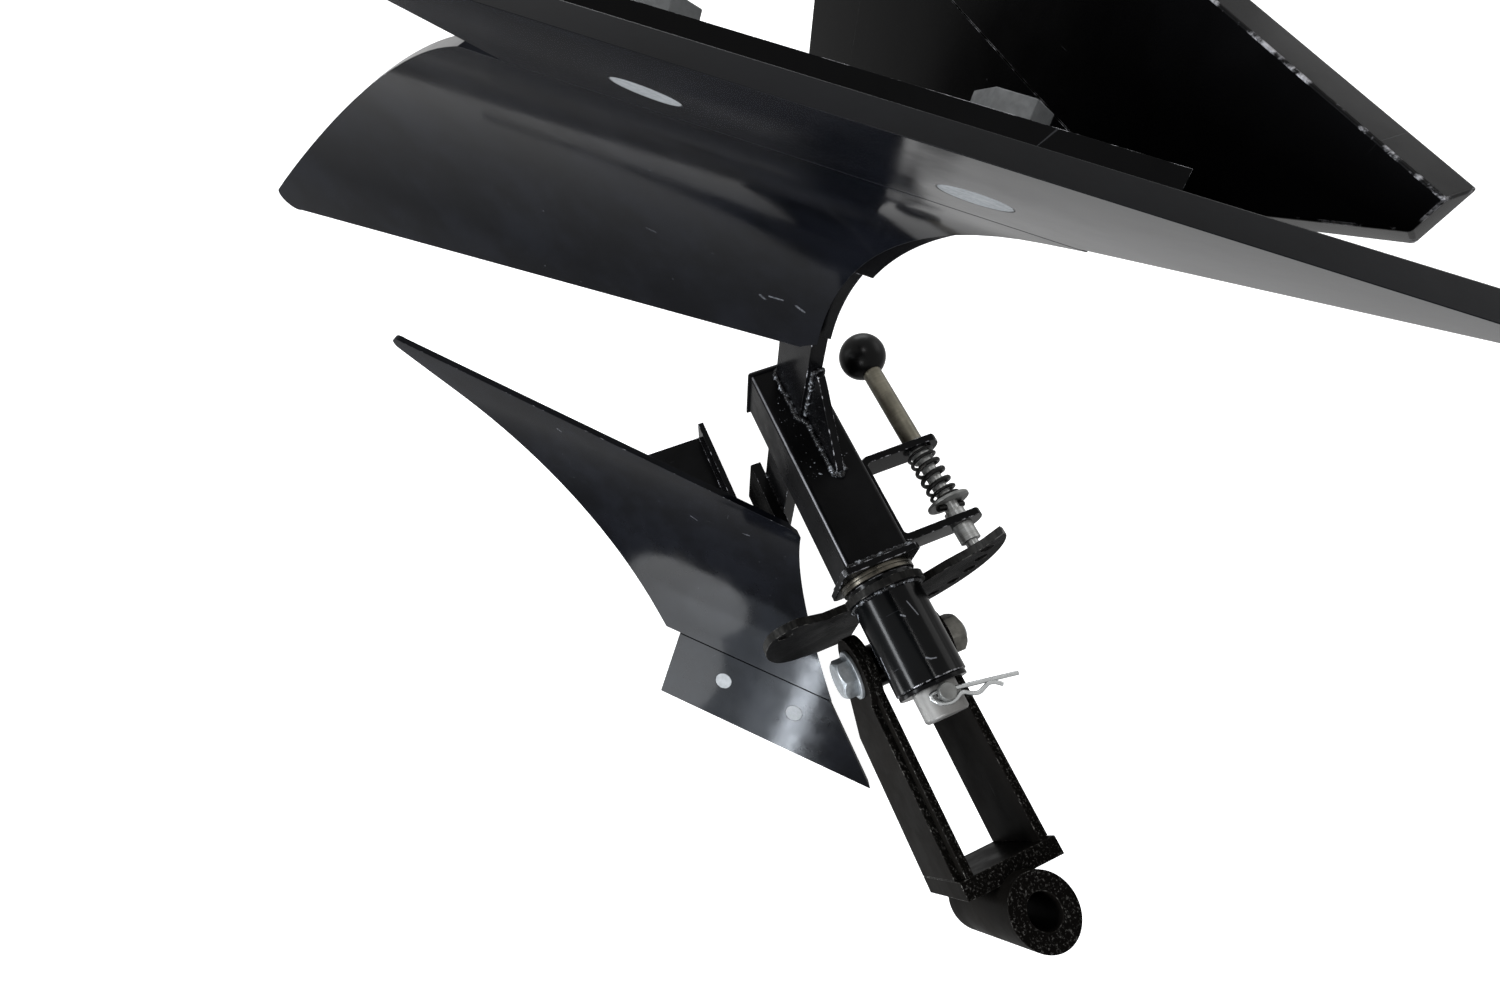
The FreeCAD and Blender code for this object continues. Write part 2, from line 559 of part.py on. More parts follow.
upper = {}
for name in ("mouldboard", "share", "share_bolts"):
    upper[name] = moved_back(pieces[name + "_lower"])
upper["frog"] = frog_with(frog_face, upper["share_bolts"])
for name in ("leg", "gusset", "stay", "landside"):
    upper[name] = pieces[name + "_lower"]
for name, shape in upper.items():
    pieces[name + "_upper"] = shape.mirror(V(0, 0, 0), V(0, 0, 1))

# Pitch bolt through the bush under the sleeve
cheek_in = CHEEK_INSIDE / 2
cheek_out = cheek_in + CHEEK_THICKNESS
side_out = cheek_out + SIDE_PLATE_THICKNESS
washer_out = side_out + PITCH_WASHER_THICKNESS
pitch_bolt = rod_y(PITCH_BOLT / 2, -washer_out, washer_out + PITCH_NUT_HEIGHT + 3, PITCH_X, PITCH_Z)
pitch_bolt = pitch_bolt.fuse(hexagon_y(PITCH_HEAD, -washer_out - PITCH_HEAD_HEIGHT, -washer_out, PITCH_X, PITCH_Z))
pieces["pitch_bolt"] = one_solid(pitch_bolt)
nut = hexagon_y(PITCH_HEAD, washer_out, washer_out + PITCH_NUT_HEIGHT, PITCH_X, PITCH_Z)
pieces["pitch_nut"] = nut.cut(rod_y(PITCH_BOLT / 2, washer_out - 1, washer_out + 40, PITCH_X, PITCH_Z))
for name, y0 in (("right", -washer_out), ("left", side_out)):
    washer = rod_y(PITCH_WASHER / 2, y0, y0 + PITCH_WASHER_THICKNESS, PITCH_X, PITCH_Z)
    washer = washer.cut(rod_y(PITCH_BOLT / 2, y0 - 1, y0 + 9, PITCH_X, PITCH_Z))
    pieces["pitch_washer_" + name] = washer

# Cheeks on both sides of the sleeve, rounded about the bolt, each with a lower side plate on its outside
diagonal = CHEEK_ROUND * math.cos(math.radians(45))
slant_x = PITCH_X - diagonal
slant_z = PITCH_Z - diagonal
knee_x = slant_x + slant_z - CHEEK_BOTTOM
for name, y0, thickness, top in (("cheek_right", -cheek_out, CHEEK_THICKNESS, CHEEK_TOP),
                                 ("cheek_left", cheek_in, CHEEK_THICKNESS, CHEEK_TOP),
                                 ("side_plate_right", -side_out, SIDE_PLATE_THICKNESS, SIDE_PLATE_TOP),
                                 ("side_plate_left", cheek_out, SIDE_PLATE_THICKNESS, SIDE_PLATE_TOP)):
    top_x = PITCH_X + math.sqrt(CHEEK_ROUND ** 2 - (top - PITCH_Z) ** 2)
    profile = [(PITCH_X, PITCH_Z), (top_x, top), (CHEEK_FRONT, top), (CHEEK_FRONT, CHEEK_BOTTOM)]
    profile += [(knee_x, CHEEK_BOTTOM), (slant_x, slant_z)]
    cheek = plate([(x, y0, z) for x, z in profile], (0, thickness, 0))
    cheek = cheek.fuse(rod_y(CHEEK_ROUND, y0, y0 + thickness, PITCH_X, PITCH_Z))
    cheek = cheek.cut(rod_y(PITCH_BOLT / 2, y0 - 1, y0 + thickness + 1, PITCH_X, PITCH_Z))
    pieces[name] = one_solid(cheek)

# Hitch plate and upright hitch tube
plate_front = CHEEK_FRONT + HITCH_PLATE_THICKNESS
pieces["hitch_plate"] = box(CHEEK_FRONT, plate_front, -side_out, side_out, CHEEK_BOTTOM, CHEEK_TOP)
tube_x = plate_front + HITCH_TUBE_DIAMETER / 2 - 4
tube_z = (CHEEK_TOP + CHEEK_BOTTOM) / 2
tube = rod_z(HITCH_TUBE_DIAMETER / 2, tube_z - HITCH_TUBE_HEIGHT / 2, tube_z + HITCH_TUBE_HEIGHT / 2, tube_x)
tube = tube.cut(rod_z(HITCH_BORE / 2, tube_z - HITCH_TUBE_HEIGHT, tube_z + HITCH_TUBE_HEIGHT, tube_x))
tube = tube.cut(pieces["hitch_plate"])
pieces["hitch_tube"] = one_solid(tube)

# The origin of the finished part is the middle of the hitch bore
to_hitch = V(-tube_x, 0, -tube_z)

os.makedirs("parts", exist_ok=True)
for name in sorted(pieces):
    shape = pieces[name].copy()
    shape.translate(to_hitch)
    shape.exportStep("parts/" + name + ".step")
    b = shape.BoundBox
    print(name, len(shape.Solids), shape.isValid(), round(shape.Volume / 1000, 1),
          [round(v, 1) for v in (b.XMin, b.XMax, b.YMin, b.YMax, b.ZMin, b.ZMax)])
print("hitch", round(tube_x, 2), round(tube_z, 2))
print(len(pieces), "nodes, kg", round(sum(s.Volume for s in pieces.values()) * 7.85e-6, 2))
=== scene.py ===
import json
import math
import random
from contextlib import contextmanager

import bpy
from bpy.props import FloatProperty, FloatVectorProperty, IntProperty, PointerProperty
from mathutils import Matrix, Vector


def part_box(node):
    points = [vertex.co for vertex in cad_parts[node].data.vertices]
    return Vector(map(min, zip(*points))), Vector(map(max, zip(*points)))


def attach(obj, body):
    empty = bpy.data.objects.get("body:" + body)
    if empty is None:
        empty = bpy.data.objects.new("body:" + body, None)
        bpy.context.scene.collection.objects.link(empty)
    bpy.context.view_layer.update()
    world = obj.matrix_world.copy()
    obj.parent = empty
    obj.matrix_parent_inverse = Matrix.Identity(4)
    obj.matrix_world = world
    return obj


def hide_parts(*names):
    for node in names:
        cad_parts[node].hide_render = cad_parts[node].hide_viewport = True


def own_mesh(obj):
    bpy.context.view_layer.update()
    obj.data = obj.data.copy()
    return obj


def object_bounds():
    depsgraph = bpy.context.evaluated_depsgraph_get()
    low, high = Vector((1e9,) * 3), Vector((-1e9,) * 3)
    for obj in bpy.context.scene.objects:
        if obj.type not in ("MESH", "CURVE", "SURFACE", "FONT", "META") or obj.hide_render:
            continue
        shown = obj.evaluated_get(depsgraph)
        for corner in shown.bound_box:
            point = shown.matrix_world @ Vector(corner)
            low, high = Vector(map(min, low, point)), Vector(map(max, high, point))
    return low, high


bl_info = {
    "name": "Reversible plough",
    "version": (1, 0, 0),
    "blender": (4, 2, 0),
    "location": "View3D > Sidebar > Plough",
    "description": "Finishes, welds, springs and small parts of a reversible plough around its solid model",
    "category": "Add Mesh",
}

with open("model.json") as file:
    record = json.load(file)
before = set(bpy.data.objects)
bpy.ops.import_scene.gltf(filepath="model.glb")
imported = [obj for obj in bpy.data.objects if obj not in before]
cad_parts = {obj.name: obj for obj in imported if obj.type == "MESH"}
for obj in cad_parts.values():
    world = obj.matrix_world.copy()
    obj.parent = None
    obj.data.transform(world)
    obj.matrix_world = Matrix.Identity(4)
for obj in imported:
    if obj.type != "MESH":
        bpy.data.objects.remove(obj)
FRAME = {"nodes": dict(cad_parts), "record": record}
CAD_BOX = [list(corner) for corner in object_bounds()]

beam_low, beam_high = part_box("beam")
# The turnover axis at the front end of the beam, from which the sizes below are taken, in millimetres
PIVOT = Vector((beam_high[0], 0.0, (beam_low[2] + beam_high[2]) / 2))
BODY_OF = {node: body for body, nodes in FRAME["record"]["behaviour"]["bodies"].items() for node in nodes}


def at(x, y, z):
    return PIVOT + Vector((x, y, z)) / 1000


# Shader helpers


class Nodes:
    """A node tree under construction: add() returns the new node, the methods after it an output."""

    def __init__(self, tree):
        self.tree = tree
        tree.nodes.clear()

    def add(self, kind, *values, **settings):
        node = self.tree.nodes.new(kind)
        for key, value in settings.items():
            setattr(node, key, value)
        for socket, value in zip(node.inputs, values):
            self.plug(value, socket)
        return node

    def plug(self, value, socket):
        if hasattr(value, "links"):
            self.tree.links.new(value, socket)
        elif value is not None:
            socket.default_value = value

    def maths(self, operation, a, b=None, clamp=False):
        return self.add("ShaderNodeMath", a, b, operation=operation, use_clamp=clamp).outputs[0]

    def times(self, a, b):
        return self.maths("MULTIPLY", a, b)


class Finish(Nodes):
    """A material with its shader, and the textures and masks that its maker may use."""

    def __init__(self, name):
        self.material = bpy.data.materials.new(name)
        self.material.use_nodes = True
        super().__init__(self.material.node_tree)
        self.output = self.add("ShaderNodeOutputMaterial")
        self.shader = self.add("ShaderNodeBsdfPrincipled")
        self.plug(self.shader.outputs[0], self.output.inputs["Surface"])
        coordinates = self.add("ShaderNodeTexCoord")
        self.place = coordinates.outputs["Object"]
        self.normal = coordinates.outputs["Normal"]
        self.bumped = None

    def vector(self, operation, a, b=None):
        node = self.add("ShaderNodeVectorMath", a, b, operation=operation)
        return node.outputs["Value"] if operation in ("DOT_PRODUCT", "LENGTH") else node.outputs[0]

    def parts(self, vector):
        return self.add("ShaderNodeSeparateXYZ", vector).outputs

    def from_pivot(self):
        return self.parts(self.vector("SUBTRACT", self.place, tuple(PIVOT)))

    def stretch(self, scale, turn=(0, 0, 0)):
        node = self.add("ShaderNodeMapping")
        self.plug(self.place, node.inputs["Vector"])
        node.inputs["Scale"].default_value = scale
        node.inputs["Rotation"].default_value = turn
        return node.outputs[0]

    def noise(self, scale, detail=3.0, rough=0.55, vector=None):
        node = self.add("ShaderNodeTexNoise")
        self.plug(vector if vector is not None else self.place, node.inputs["Vector"])
        node.inputs["Scale"].default_value = scale
        node.inputs["Detail"].default_value = detail
        node.inputs["Roughness"].default_value = rough
        return node.outputs[0]

    def cells(self, scale):
        node = self.add("ShaderNodeTexVoronoi")
        self.plug(self.place, node.inputs["Vector"])
        node.inputs["Scale"].default_value = scale
        return node.outputs

    def span(self, value, low, high, to_low=0.0, to_high=1.0):
        """The value's way from low to high, eased at both ends and spread between the last two numbers."""
        node = self.add("ShaderNodeMapRange", value, low, high, to_low, to_high, interpolation_type="SMOOTHSTEP")
        return node.outputs[0]

    def uneven(self, scale, detail, rough, low, high):
        """A noise spread between low and high, for a gloss that varies."""
        return self.span(self.noise(scale, detail, rough), 0.3, 0.7, low, high)

    def blend(self, factor, first, second):
        node = self.tree.nodes.new("ShaderNodeMix")
        node.data_type = "RGBA"
        self.plug(factor, node.inputs[0])
        self.plug(first, node.inputs[6])
        self.plug(second, node.inputs[7])
        return node.outputs[2]

    def mottled(self, cloud, limits, first, second):
        """Blend of two colours by a noise with the given settings, spread between two limits."""
        return self.blend(self.span(self.noise(*cloud), *limits), first, second)

    def rim(self):
        """Mask of the faces that look away from the turnover axis."""
        sideways = self.maths("SUBTRACT", 1.0, self.maths("ABSOLUTE", self.parts(self.normal)[0]))
        return self.span(sideways, 0.45, 0.8)

    def bump(self, height, strength, distance=0.0005):
        node = self.tree.nodes.new("ShaderNodeBump")
        node.inputs["Strength"].default_value = strength
        node.inputs["Distance"].default_value = distance
        self.plug(height, node.inputs["Height"])
        if self.bumped is not None:
            self.plug(self.bumped, node.inputs["Normal"])
        self.bumped = node.outputs[0]

    def near_line(self, start, end, width):
        """Mask of the line from start to end, faded out over width, all in millimetres from the pivot."""
        start, end = at(*start), at(*end)
        along = end - start
        reach = self.vector("SUBTRACT", self.place, tuple(start))
        share = self.vector("DOT_PRODUCT", reach, tuple(along / along.length_squared))
        share = self.maths("ADD", share, 0.0, clamp=True)
        foot = self.add("ShaderNodeVectorMath", tuple(along), operation="SCALE")
        self.plug(share, foot.inputs["Scale"])
        distance = self.vector("LENGTH", self.vector("SUBTRACT", reach, foot.outputs[0]))
        return self.span(distance, width / 5000, width / 1600, 1.0, 0.0)

    def either(self, masks):
        total = masks[0]
        for mask in masks[1:]:
            total = self.maths("MAXIMUM", total, mask)
        return total

    def finish(self, **sockets):
        for key, value in sockets.items():
            self.plug(value, self.shader.inputs[key.replace("_", " ")])
        if self.bumped is not None:
            self.plug(self.bumped, self.shader.inputs["Normal"])
        return self.material


def shade(colour, factor=1.0):
    """One of the panel's colours by its name, darker or lighter by a factor, with full alpha."""
    channels = getattr(bpy.context.scene.plough_colours, colour)
    return (*[channel * factor for channel in channels], 1.0)


def sizes():
    return bpy.context.scene.plough_sizes


def paint(name, colour, roughness, level, dust=0.25, scratch=0.35, fleck=0.5, marks=(), line_marks=0.8):
    """Black paint with faint clouds, dust, hair scratches, small pale flecks and orange peel."""
    f = Finish(name)
    base = f.mottled((22.0, 4.0, 0.6), (0.35, 0.68), shade(colour, 0.65), shade(colour, 1.4))
    film_mask = f.times(f.span(f.noise(7.0, 7.0, 0.72), 0.52, 0.74), dust)
    base = f.blend(film_mask, base, shade("dust"))
    hair = f.noise(1.0, 2.0, 0.5, f.stretch((900, 30, 40), (0.2, 0.35, 0.6)))
    hair_two = f.noise(1.0, 2.0, 0.5, f.stretch((30, 24, 1000), (0.5, -0.3, 0.2)))
    patch = f.span(f.noise(14.0, 2.0), 0.5, 0.66)
    scratch_mask = f.maths("MAXIMUM", f.span(hair, 0.755, 0.79), f.span(hair_two, 0.76, 0.79))
    scratch_mask = f.times(f.times(scratch_mask, patch), scratch)
    cell = f.cells(150.0)
    dot = f.span(cell["Distance"], 0.03, 0.09, 1.0, 0.0)
    picked = f.span(f.parts(cell["Color"])[0], 0.93, 0.95)
    fleck_mask = f.times(f.times(dot, picked), fleck)
    mask = f.maths("MAXIMUM", scratch_mask, fleck_mask)
    if marks:
        drawn = f.either([f.near_line(a, b, w) for a, b, w in marks])
        drawn = f.times(drawn, f.span(f.noise(700.0, 2.0), 0.3, 0.55, 0.25, 1.0))
        mask = f.maths("MAXIMUM", mask, f.times(drawn, line_marks))
    base = f.blend(mask, base, shade("bare_mark"))
    uneven = f.uneven(40.0, 5.0, 0.6, roughness * 0.8, roughness * 1.25)
    uneven = f.maths("ADD", uneven, f.times(film_mask, 0.5), clamp=True)
    f.bump(f.noise(520.0, 2.0, 0.4), 0.02, 0.0004)
    f.bump(f.noise(45.0, 2.0, 0.5), 0.05, 0.0008)
    return f.finish(Base_Color=base, Roughness=uneven, Specular_IOR_Level=level)


def worn_paint(name, paint_colour, bare_colour, cover, scale=160.0, level=0.06, reach=None):
    """Paint rubbed through to steel in patches, at most reach metres above or below the pivot's axis.

    A higher cover leaves more of the paint.
    """
    f = Finish(name)
    spots = f.noise(scale, 5.0, 0.7)
    mask = f.span(spots, cover - 0.06, cover + 0.06)
    if reach is not None:
        height = f.maths("ABSOLUTE", f.from_pivot()[2])
        mask = f.times(mask, f.span(height, reach - 0.02, reach, 1.0, 0.0))
    grit = f.noise(900.0, 2.0, 0.6)
    bare = f.blend(f.span(grit, 0.3, 0.7), shade(bare_colour, 0.55), shade(bare_colour))
    base = f.blend(mask, shade(paint_colour), bare)
    rough = f.span(mask, 0.0, 1.0, 0.34, 0.42)
    f.bump(grit, 0.12, 0.0004)
    f.bump(mask, 0.25, 0.0003)
    return f.finish(Base_Color=base, Roughness=rough, Metallic=f.times(mask, 0.75), Specular_IOR_Level=level)


def bright_metal(name, colour, roughness, mottle=60.0, lines=None, dull=0.5, metallic=0.9):
    """Zinc or turned steel: mottled colour, uneven gloss and, with lines given, tool marks across that axis."""
    f = Finish(name)
    dark = shade(colour, 1 - 0.45 * dull)
    base = f.mottled((mottle, 5.0, 0.65), (0.32, 0.68), dark, shade(colour))
    stain = f.span(f.noise(mottle * 0.35, 6.0, 0.7), 0.56, 0.72, 0.0, 0.55 * dull)
    base = f.blend(stain, base, shade("stain"))
    rough = f.uneven(mottle * 2.5, 4.0, 0.6, roughness * 0.75, roughness * 1.3)
    if lines is not None:
        groove = f.noise(1.0, 2.0, 0.6, f.stretch(lines))
        f.bump(groove, 0.22, 0.0003)
        base = f.blend(f.span(groove, 0.35, 0.7, 0.0, 0.3), base, dark)
    f.bump(f.noise(850.0, 2.0, 0.5), 0.08, 0.0003)
    return f.finish(Base_Color=base, Roughness=rough, Metallic=metallic)


def make_lock_pin():
    """Turned pin: dull grey-brown behind the bracket, brighter where the spring and bracket keep it rubbed."""
    f = Finish("lock_pin_steel")
    parts = f.from_pivot()
    forward = f.span(parts[0], -0.088, -0.074)
    blotch = f.span(f.noise(55.0, 5.0, 0.65), 0.32, 0.68)
    dull = f.blend(blotch, shade("handle", 0.6), shade("handle"))
    clean = f.blend(blotch, shade("pin", 0.65), shade("pin"))
    groove = f.noise(1.0, 2.0, 0.6, f.stretch((900, 30, 30)))
    f.bump(groove, 0.22, 0.0003)
    base = f.blend(forward, dull, clean)
    base = f.blend(f.span(groove, 0.35, 0.7, 0.0, 0.3), base, shade("handle", 0.5))
    rough = f.uneven(130.0, 4.0, 0.6, 0.30, 0.48)
    return f.finish(Base_Color=base, Roughness=rough, Metallic=0.7)


MATERIALS = {}


def material(name):
    if name not in MATERIALS:
        MATERIALS[name] = MAKERS[name]()
    return MATERIALS[name]


def make_beam_paint():
    """Frame paint with the long corners of the tube pale: partly rubbed wear, partly a painted highlight, strongest
    on the right side.
    """
    f = Finish("beam_paint")
    base = f.mottled((24.0, 4.0, 0.6), (0.35, 0.68), shade("frame", 0.6), shade("frame", 1.5))
    parts = f.from_pivot()
    corner = f.maths("ADD", f.maths("ABSOLUTE", parts[1]), f.maths("ABSOLUTE", parts[2]))
    flat_ends, round_begins = 0.0474, 0.0479
    # Pale line along the rounded corners: rubbed wear and a painted highlight
    rubbed = f.span(corner, flat_ends, round_begins)
    broken = f.span(f.noise(1.0, 3.0, 0.6, f.stretch((55, 300, 300))), 0.36, 0.52, 0.45, 1.0)
    rubbed = f.times(rubbed, broken)
    # The painted highlight is full on the -Y side, which faces the lamps, and about a third as strong on the +Y
    # side
    rubbed = f.times(rubbed, f.span(parts[1], -0.02, 0.0, 1.0, 0.35))
    rubbed = f.times(rubbed, f.span(parts[0], -0.165, -0.09, 0.6, 1.0))
    cell = f.cells(170.0)
    dot = f.span(cell["Distance"], 0.04, 0.12, 1.0, 0.0)
    picked = f.span(f.parts(cell["Color"])[0], 0.84, 0.86)
    near_weld = f.span(parts[0], -0.135, -0.085, 1.0, 0.0)
    specks = f.times(f.times(dot, picked), near_weld)
    base = f.blend(f.times(specks, 0.2), base, shade("bare_mark"))
    base = f.blend(rubbed, base, shade("rubbed_edge_and_painted_highlight"))
    rough = f.uneven(40.0, 4.0, 0.6, 0.24, 0.38)
    f.bump(f.noise(420.0, 2.0, 0.4), 0.05, 0.0004)
    return f.finish(Base_Color=base, Roughness=rough, Metallic=f.times(rubbed, 0.35),
                    Specular_IOR_Level=0.05)


def make_board_paint():
    marks = [((-288, -186, -126), (-285, -183, -129), 1.6), ((-176, -87, -190), (-170, -82, -193), 1.6),
             ((-134, -45, -182), (-128, -40, -181), 1.4), ((-132, -42, 170), (-130, -40, 168), 2.2),
             ((-128, -38, 172), (-122, -32, 173), 1.6), ((-116, -26, 172), (-112, -23, 169), 2.0),
             ((-180, -92, 196), (-176, -88, 195), 1.8)]
    return paint("board_paint", "board", 0.105, 0.062, dust=0.12, scratch=0.10, fleck=0.16, marks=marks,
                 line_marks=0.2)


def make_sleeve_paint():
    marks = [((48, -25.8, -3.3), (66, -25.4, -5.8), 0.9), ((61, -25.7, 4), (76, -25.8, 3), 1.1),
             ((35.9, 2.7, 25.9), (47.2, 5.6, 25.4), 1.0), ((42.9, -5.6, 25.4), (44.8, -3.4, 25.8), 1.2),
             ((75.2, -3.7, 25.7), (77.0, -1.0, 26.0), 1.3), ((77.0, -1.0, 26.0), (77.7, 2.5, 25.9), 1.0),
             ((27.3, -25.9, 0.5), (29.5, -25.8, -2.5), 2.6)]
    return paint("sleeve_paint", "sleeve", 0.15, 0.085, dust=0.12, scratch=0.3, fleck=0.5, marks=marks,
                 line_marks=0.55)


def make_cheek_paint():
    """Brownish worn black of the hitch plates; their upper edges are rubbed to speckled steel."""
    f = Finish("cheek_paint")
    base = f.mottled((18.0, 5.0, 0.65), (0.35, 0.68), shade("hitch", 0.6),
                     shade("hitch", 1.25))
    hair = f.noise(1.0, 2.0, 0.5, f.stretch((30, 50, 800), (0.0, 0.5, 0.0)))
    hair = f.times(f.span(hair, 0.70, 0.76), f.span(f.noise(16.0, 2.0), 0.5, 0.66, 0.0, 0.12))
    base = f.blend(hair, base, shade("bare_mark"))
    upper = f.span(f.parts(f.normal)[2], 0.55, 0.8)
    speckle = f.span(f.noise(620.0, 4.0, 0.75), 0.55, 0.66)
    grain = f.times(f.times(upper, speckle), 0.55)
    base = f.blend(upper, base, shade("hitch", 0.5))
    base = f.blend(grain, base, shade("worn_speckle"))
    rough = f.span(f.noise(35.0, 4.0), 0.3, 0.7, 0.32, 0.46)
    f.bump(f.noise(300.0, 3.0, 0.6), 0.10, 0.0005)
    f.bump(grain, 0.4, 0.0004)
    return f.finish(Base_Color=base, Roughness=rough, Specular_IOR_Level=0.006)


def make_index_paint():
    """Black plate whose flame-cut edge is rubbed light all round and whose face is scuffed."""
    f = Finish("index_paint")
    base = f.mottled((30.0, 5.0, 0.65), (0.35, 0.68), shade("frame", 0.6),
                     shade("frame", 1.5))
    edge = f.rim()
    ripple = f.span(f.noise(1.0, 4.0, 0.7, f.stretch((90, 420, 420))), 0.34, 0.66)
    edge_colour = f.blend(ripple, shade("worn_speckle", 0.35), shade("worn_speckle"))
    base = f.blend(f.times(edge, 0.16), base, edge_colour)
    parts = f.from_pivot()
    outer = f.maths("SQRT", f.maths("ADD", f.times(parts[1], parts[1]), f.times(parts[2], parts[2])))
    scuffed = f.times(f.span(outer, 0.060, 0.085), f.span(f.noise(260.0, 5.0, 0.75), 0.54, 0.66))
    base = f.blend(f.times(scuffed, 0.06), base, shade("worn_speckle"))
    rough = f.span(f.noise(45.0, 4.0), 0.3, 0.7, 0.30, 0.42)
    f.bump(f.noise(330.0, 3.0, 0.6), 0.10, 0.0005)
    f.bump(ripple, 0.2, 0.0004)
    return f.finish(Base_Color=base, Roughness=rough, Metallic=f.times(edge, 0.2), Specular_IOR_Level=0.004)


def make_weld():
    """Painted weld metal: dark and glossy, with paler tops in patches; their pale blue-white is partly a painted
    highlight for glints.
    """
    f = Finish("weld_metal")
    # Patches where the weld is paler and more metallic: partly weld tops, partly painted glints
    tops = f.span(f.noise(150.0, 4.0, 0.7), 0.52, 0.64)
    base = f.blend(f.times(tops, 0.7), shade("weld"), shade("weld_light"))
    f.bump(f.noise(900.0, 3.0, 0.6), 0.3, 0.0004)
    return f.finish(Base_Color=base, Roughness=f.span(tops, 0.0, 1.0, 0.22, 0.34), Metallic=f.times(tops, 0.6),
                    Specular_IOR_Level=0.15)


def make_ring():
    """Oily thrust rings, grey-gold on the rims."""
    f = Finish("thrust_ring_steel")
    rim = f.rim()
    patches = f.noise(70.0, 4.0, 0.65)
    metal = f.blend(f.span(patches, 0.35, 0.65), shade("ring", 0.5), shade("ring"))
    base = f.blend(rim, shade("ring", 0.4), metal)
    f.bump(f.noise(1.0, 2.0, 0.6, f.stretch((2500, 200, 200))), 0.15, 0.0003)
    return f.finish(Base_Color=base, Roughness=f.span(patches, 0.3, 0.7, 0.24, 0.40), Metallic=0.85)


def make_knob():
    f = Finish("knob_plastic")
    cloud = f.noise(45.0, 3.0, 0.6)
    base = f.blend(f.span(cloud, 0.3, 0.7), shade("knob", 0.6), shade("knob"))
    scuff = f.span(f.noise(1.0, 3.0, 0.6, f.stretch((60, 700, 90), (0.5, 0.2, 0.9))), 0.7, 0.76, 0.0, 0.12)
    base = f.blend(scuff, base, shade("dust"))
    f.bump(f.noise(240.0, 2.0, 0.4), 0.03, 0.0004)
    return f.finish(Base_Color=base, Roughness=f.span(cloud, 0.3, 0.7, 0.26, 0.34), Specular_IOR_Level=0.09)


def make_cap():
    f = Finish("cap_plastic")
    grain = f.noise(900.0, 2.0, 0.5)
    base = f.mottled((35.0, 4.0), (0.3, 0.7), shade("cap", 0.7), shade("cap"))
    f.bump(grain, 0.12, 0.0003)
    return f.finish(Base_Color=base, Roughness=f.span(grain, 0.3, 0.7, 0.36, 0.48), Specular_IOR_Level=0.06)


MAKERS = {
    "frame_paint": lambda: paint("frame_paint", "frame", 0.20, 0.05, dust=0.10, scratch=0.22, fleck=0.30),
    "beam_paint": make_beam_paint,
    "board_paint": make_board_paint,
    "sleeve_paint": make_sleeve_paint,
    "cheek_paint": make_cheek_paint,
    "index_paint": make_index_paint,
    "weld_metal": make_weld,
    "ring": make_ring,
    "knob": make_knob,
    "cap": make_cap,
    "frame_edge": lambda: worn_paint("frame_edge", "frame", "rubbed_edge_and_painted_highlight", 0.56, 140.0),
    "board_edge": lambda: worn_paint("board_edge", "board", "rubbed_edge_and_painted_highlight", 0.62, 120.0, reach=0.30),
    "hitch_edge": lambda: worn_paint("hitch_edge", "hitch", "worn_speckle", 0.58, 260.0, 0.02),
    "index_edge": lambda: worn_paint("index_edge", "frame", "worn_speckle", 0.54, 220.0, 0.02),
    "lock_pin": make_lock_pin,
    "dull_zinc": lambda: bright_metal("dull_zinc", "dull_zinc", 0.48, 90.0, dull=0.8, metallic=0.6),
    "old_zinc": lambda: bright_metal("old_zinc", "nut", 0.45, 110.0, dull=0.9, metallic=0.6),
    "share_bolt": lambda: bright_metal("share_bolt_zinc", "share_bolt", 0.62, 190.0, dull=0.35,
                                       metallic=0.15),
    "zinc_bolt": lambda: bright_metal("zinc_bolt", "zinc_bolt", 0.40, 110.0, dull=0.7, metallic=0.7),
    "shaft": lambda: bright_metal("turned_shaft", "shaft", 0.46, 40.0, lines=(1500, 20, 20), dull=0.5,
                                  metallic=0.6),
    "spring": lambda: worn_paint("spring_wire", "spring", "spring_worn", 0.60, 150.0, 0.10),
    "hairpin": lambda: bright_metal("hairpin_wire", "zinc", 0.26, 160.0, dull=0.3, metallic=0.9),
}


# Modelling helpers


def only(piece):
    bpy.ops.object.select_all(action="DESELECT")
    piece.select_set(True)
    bpy.context.view_layer.objects.active = piece


def apply_modifiers(piece):
    only(piece)
    for modifier in list(piece.modifiers):
        bpy.ops.object.modifier_apply(modifier=modifier.name)


def named(piece, name):
    piece.name = name
    piece.data.name = name
    return piece


@contextmanager
def edit_mode():
    """Edit mode of the active piece, with the whole mesh selected."""
    bpy.ops.object.mode_set(mode="EDIT")
    bpy.ops.mesh.select_all(action="SELECT")
    yield
    bpy.ops.object.mode_set(mode="OBJECT")


def place_in_mesh(piece):
    only(piece)
    bpy.ops.object.transform_apply(location=True, rotation=True, scale=True)


def smooth(piece, degrees=35.0):
    only(piece)
    bpy.ops.object.shade_smooth_by_angle(angle=math.radians(degrees))


def coat(piece, *finishes):
    piece.data.materials.clear()
    for finish in finishes:
        piece.data.materials.append(material(finish))


def give(piece, body, slot, *finishes):
    coat(piece, *finishes)
    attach(piece, body)


def joined(pieces, name):
    bpy.ops.object.select_all(action="DESELECT")
    for piece in pieces:
        piece.select_set(True)
    bpy.context.view_layer.objects.active = pieces[0]
    if len(pieces) > 1:
        bpy.ops.object.join()
    return named(bpy.context.view_layer.objects.active, name)


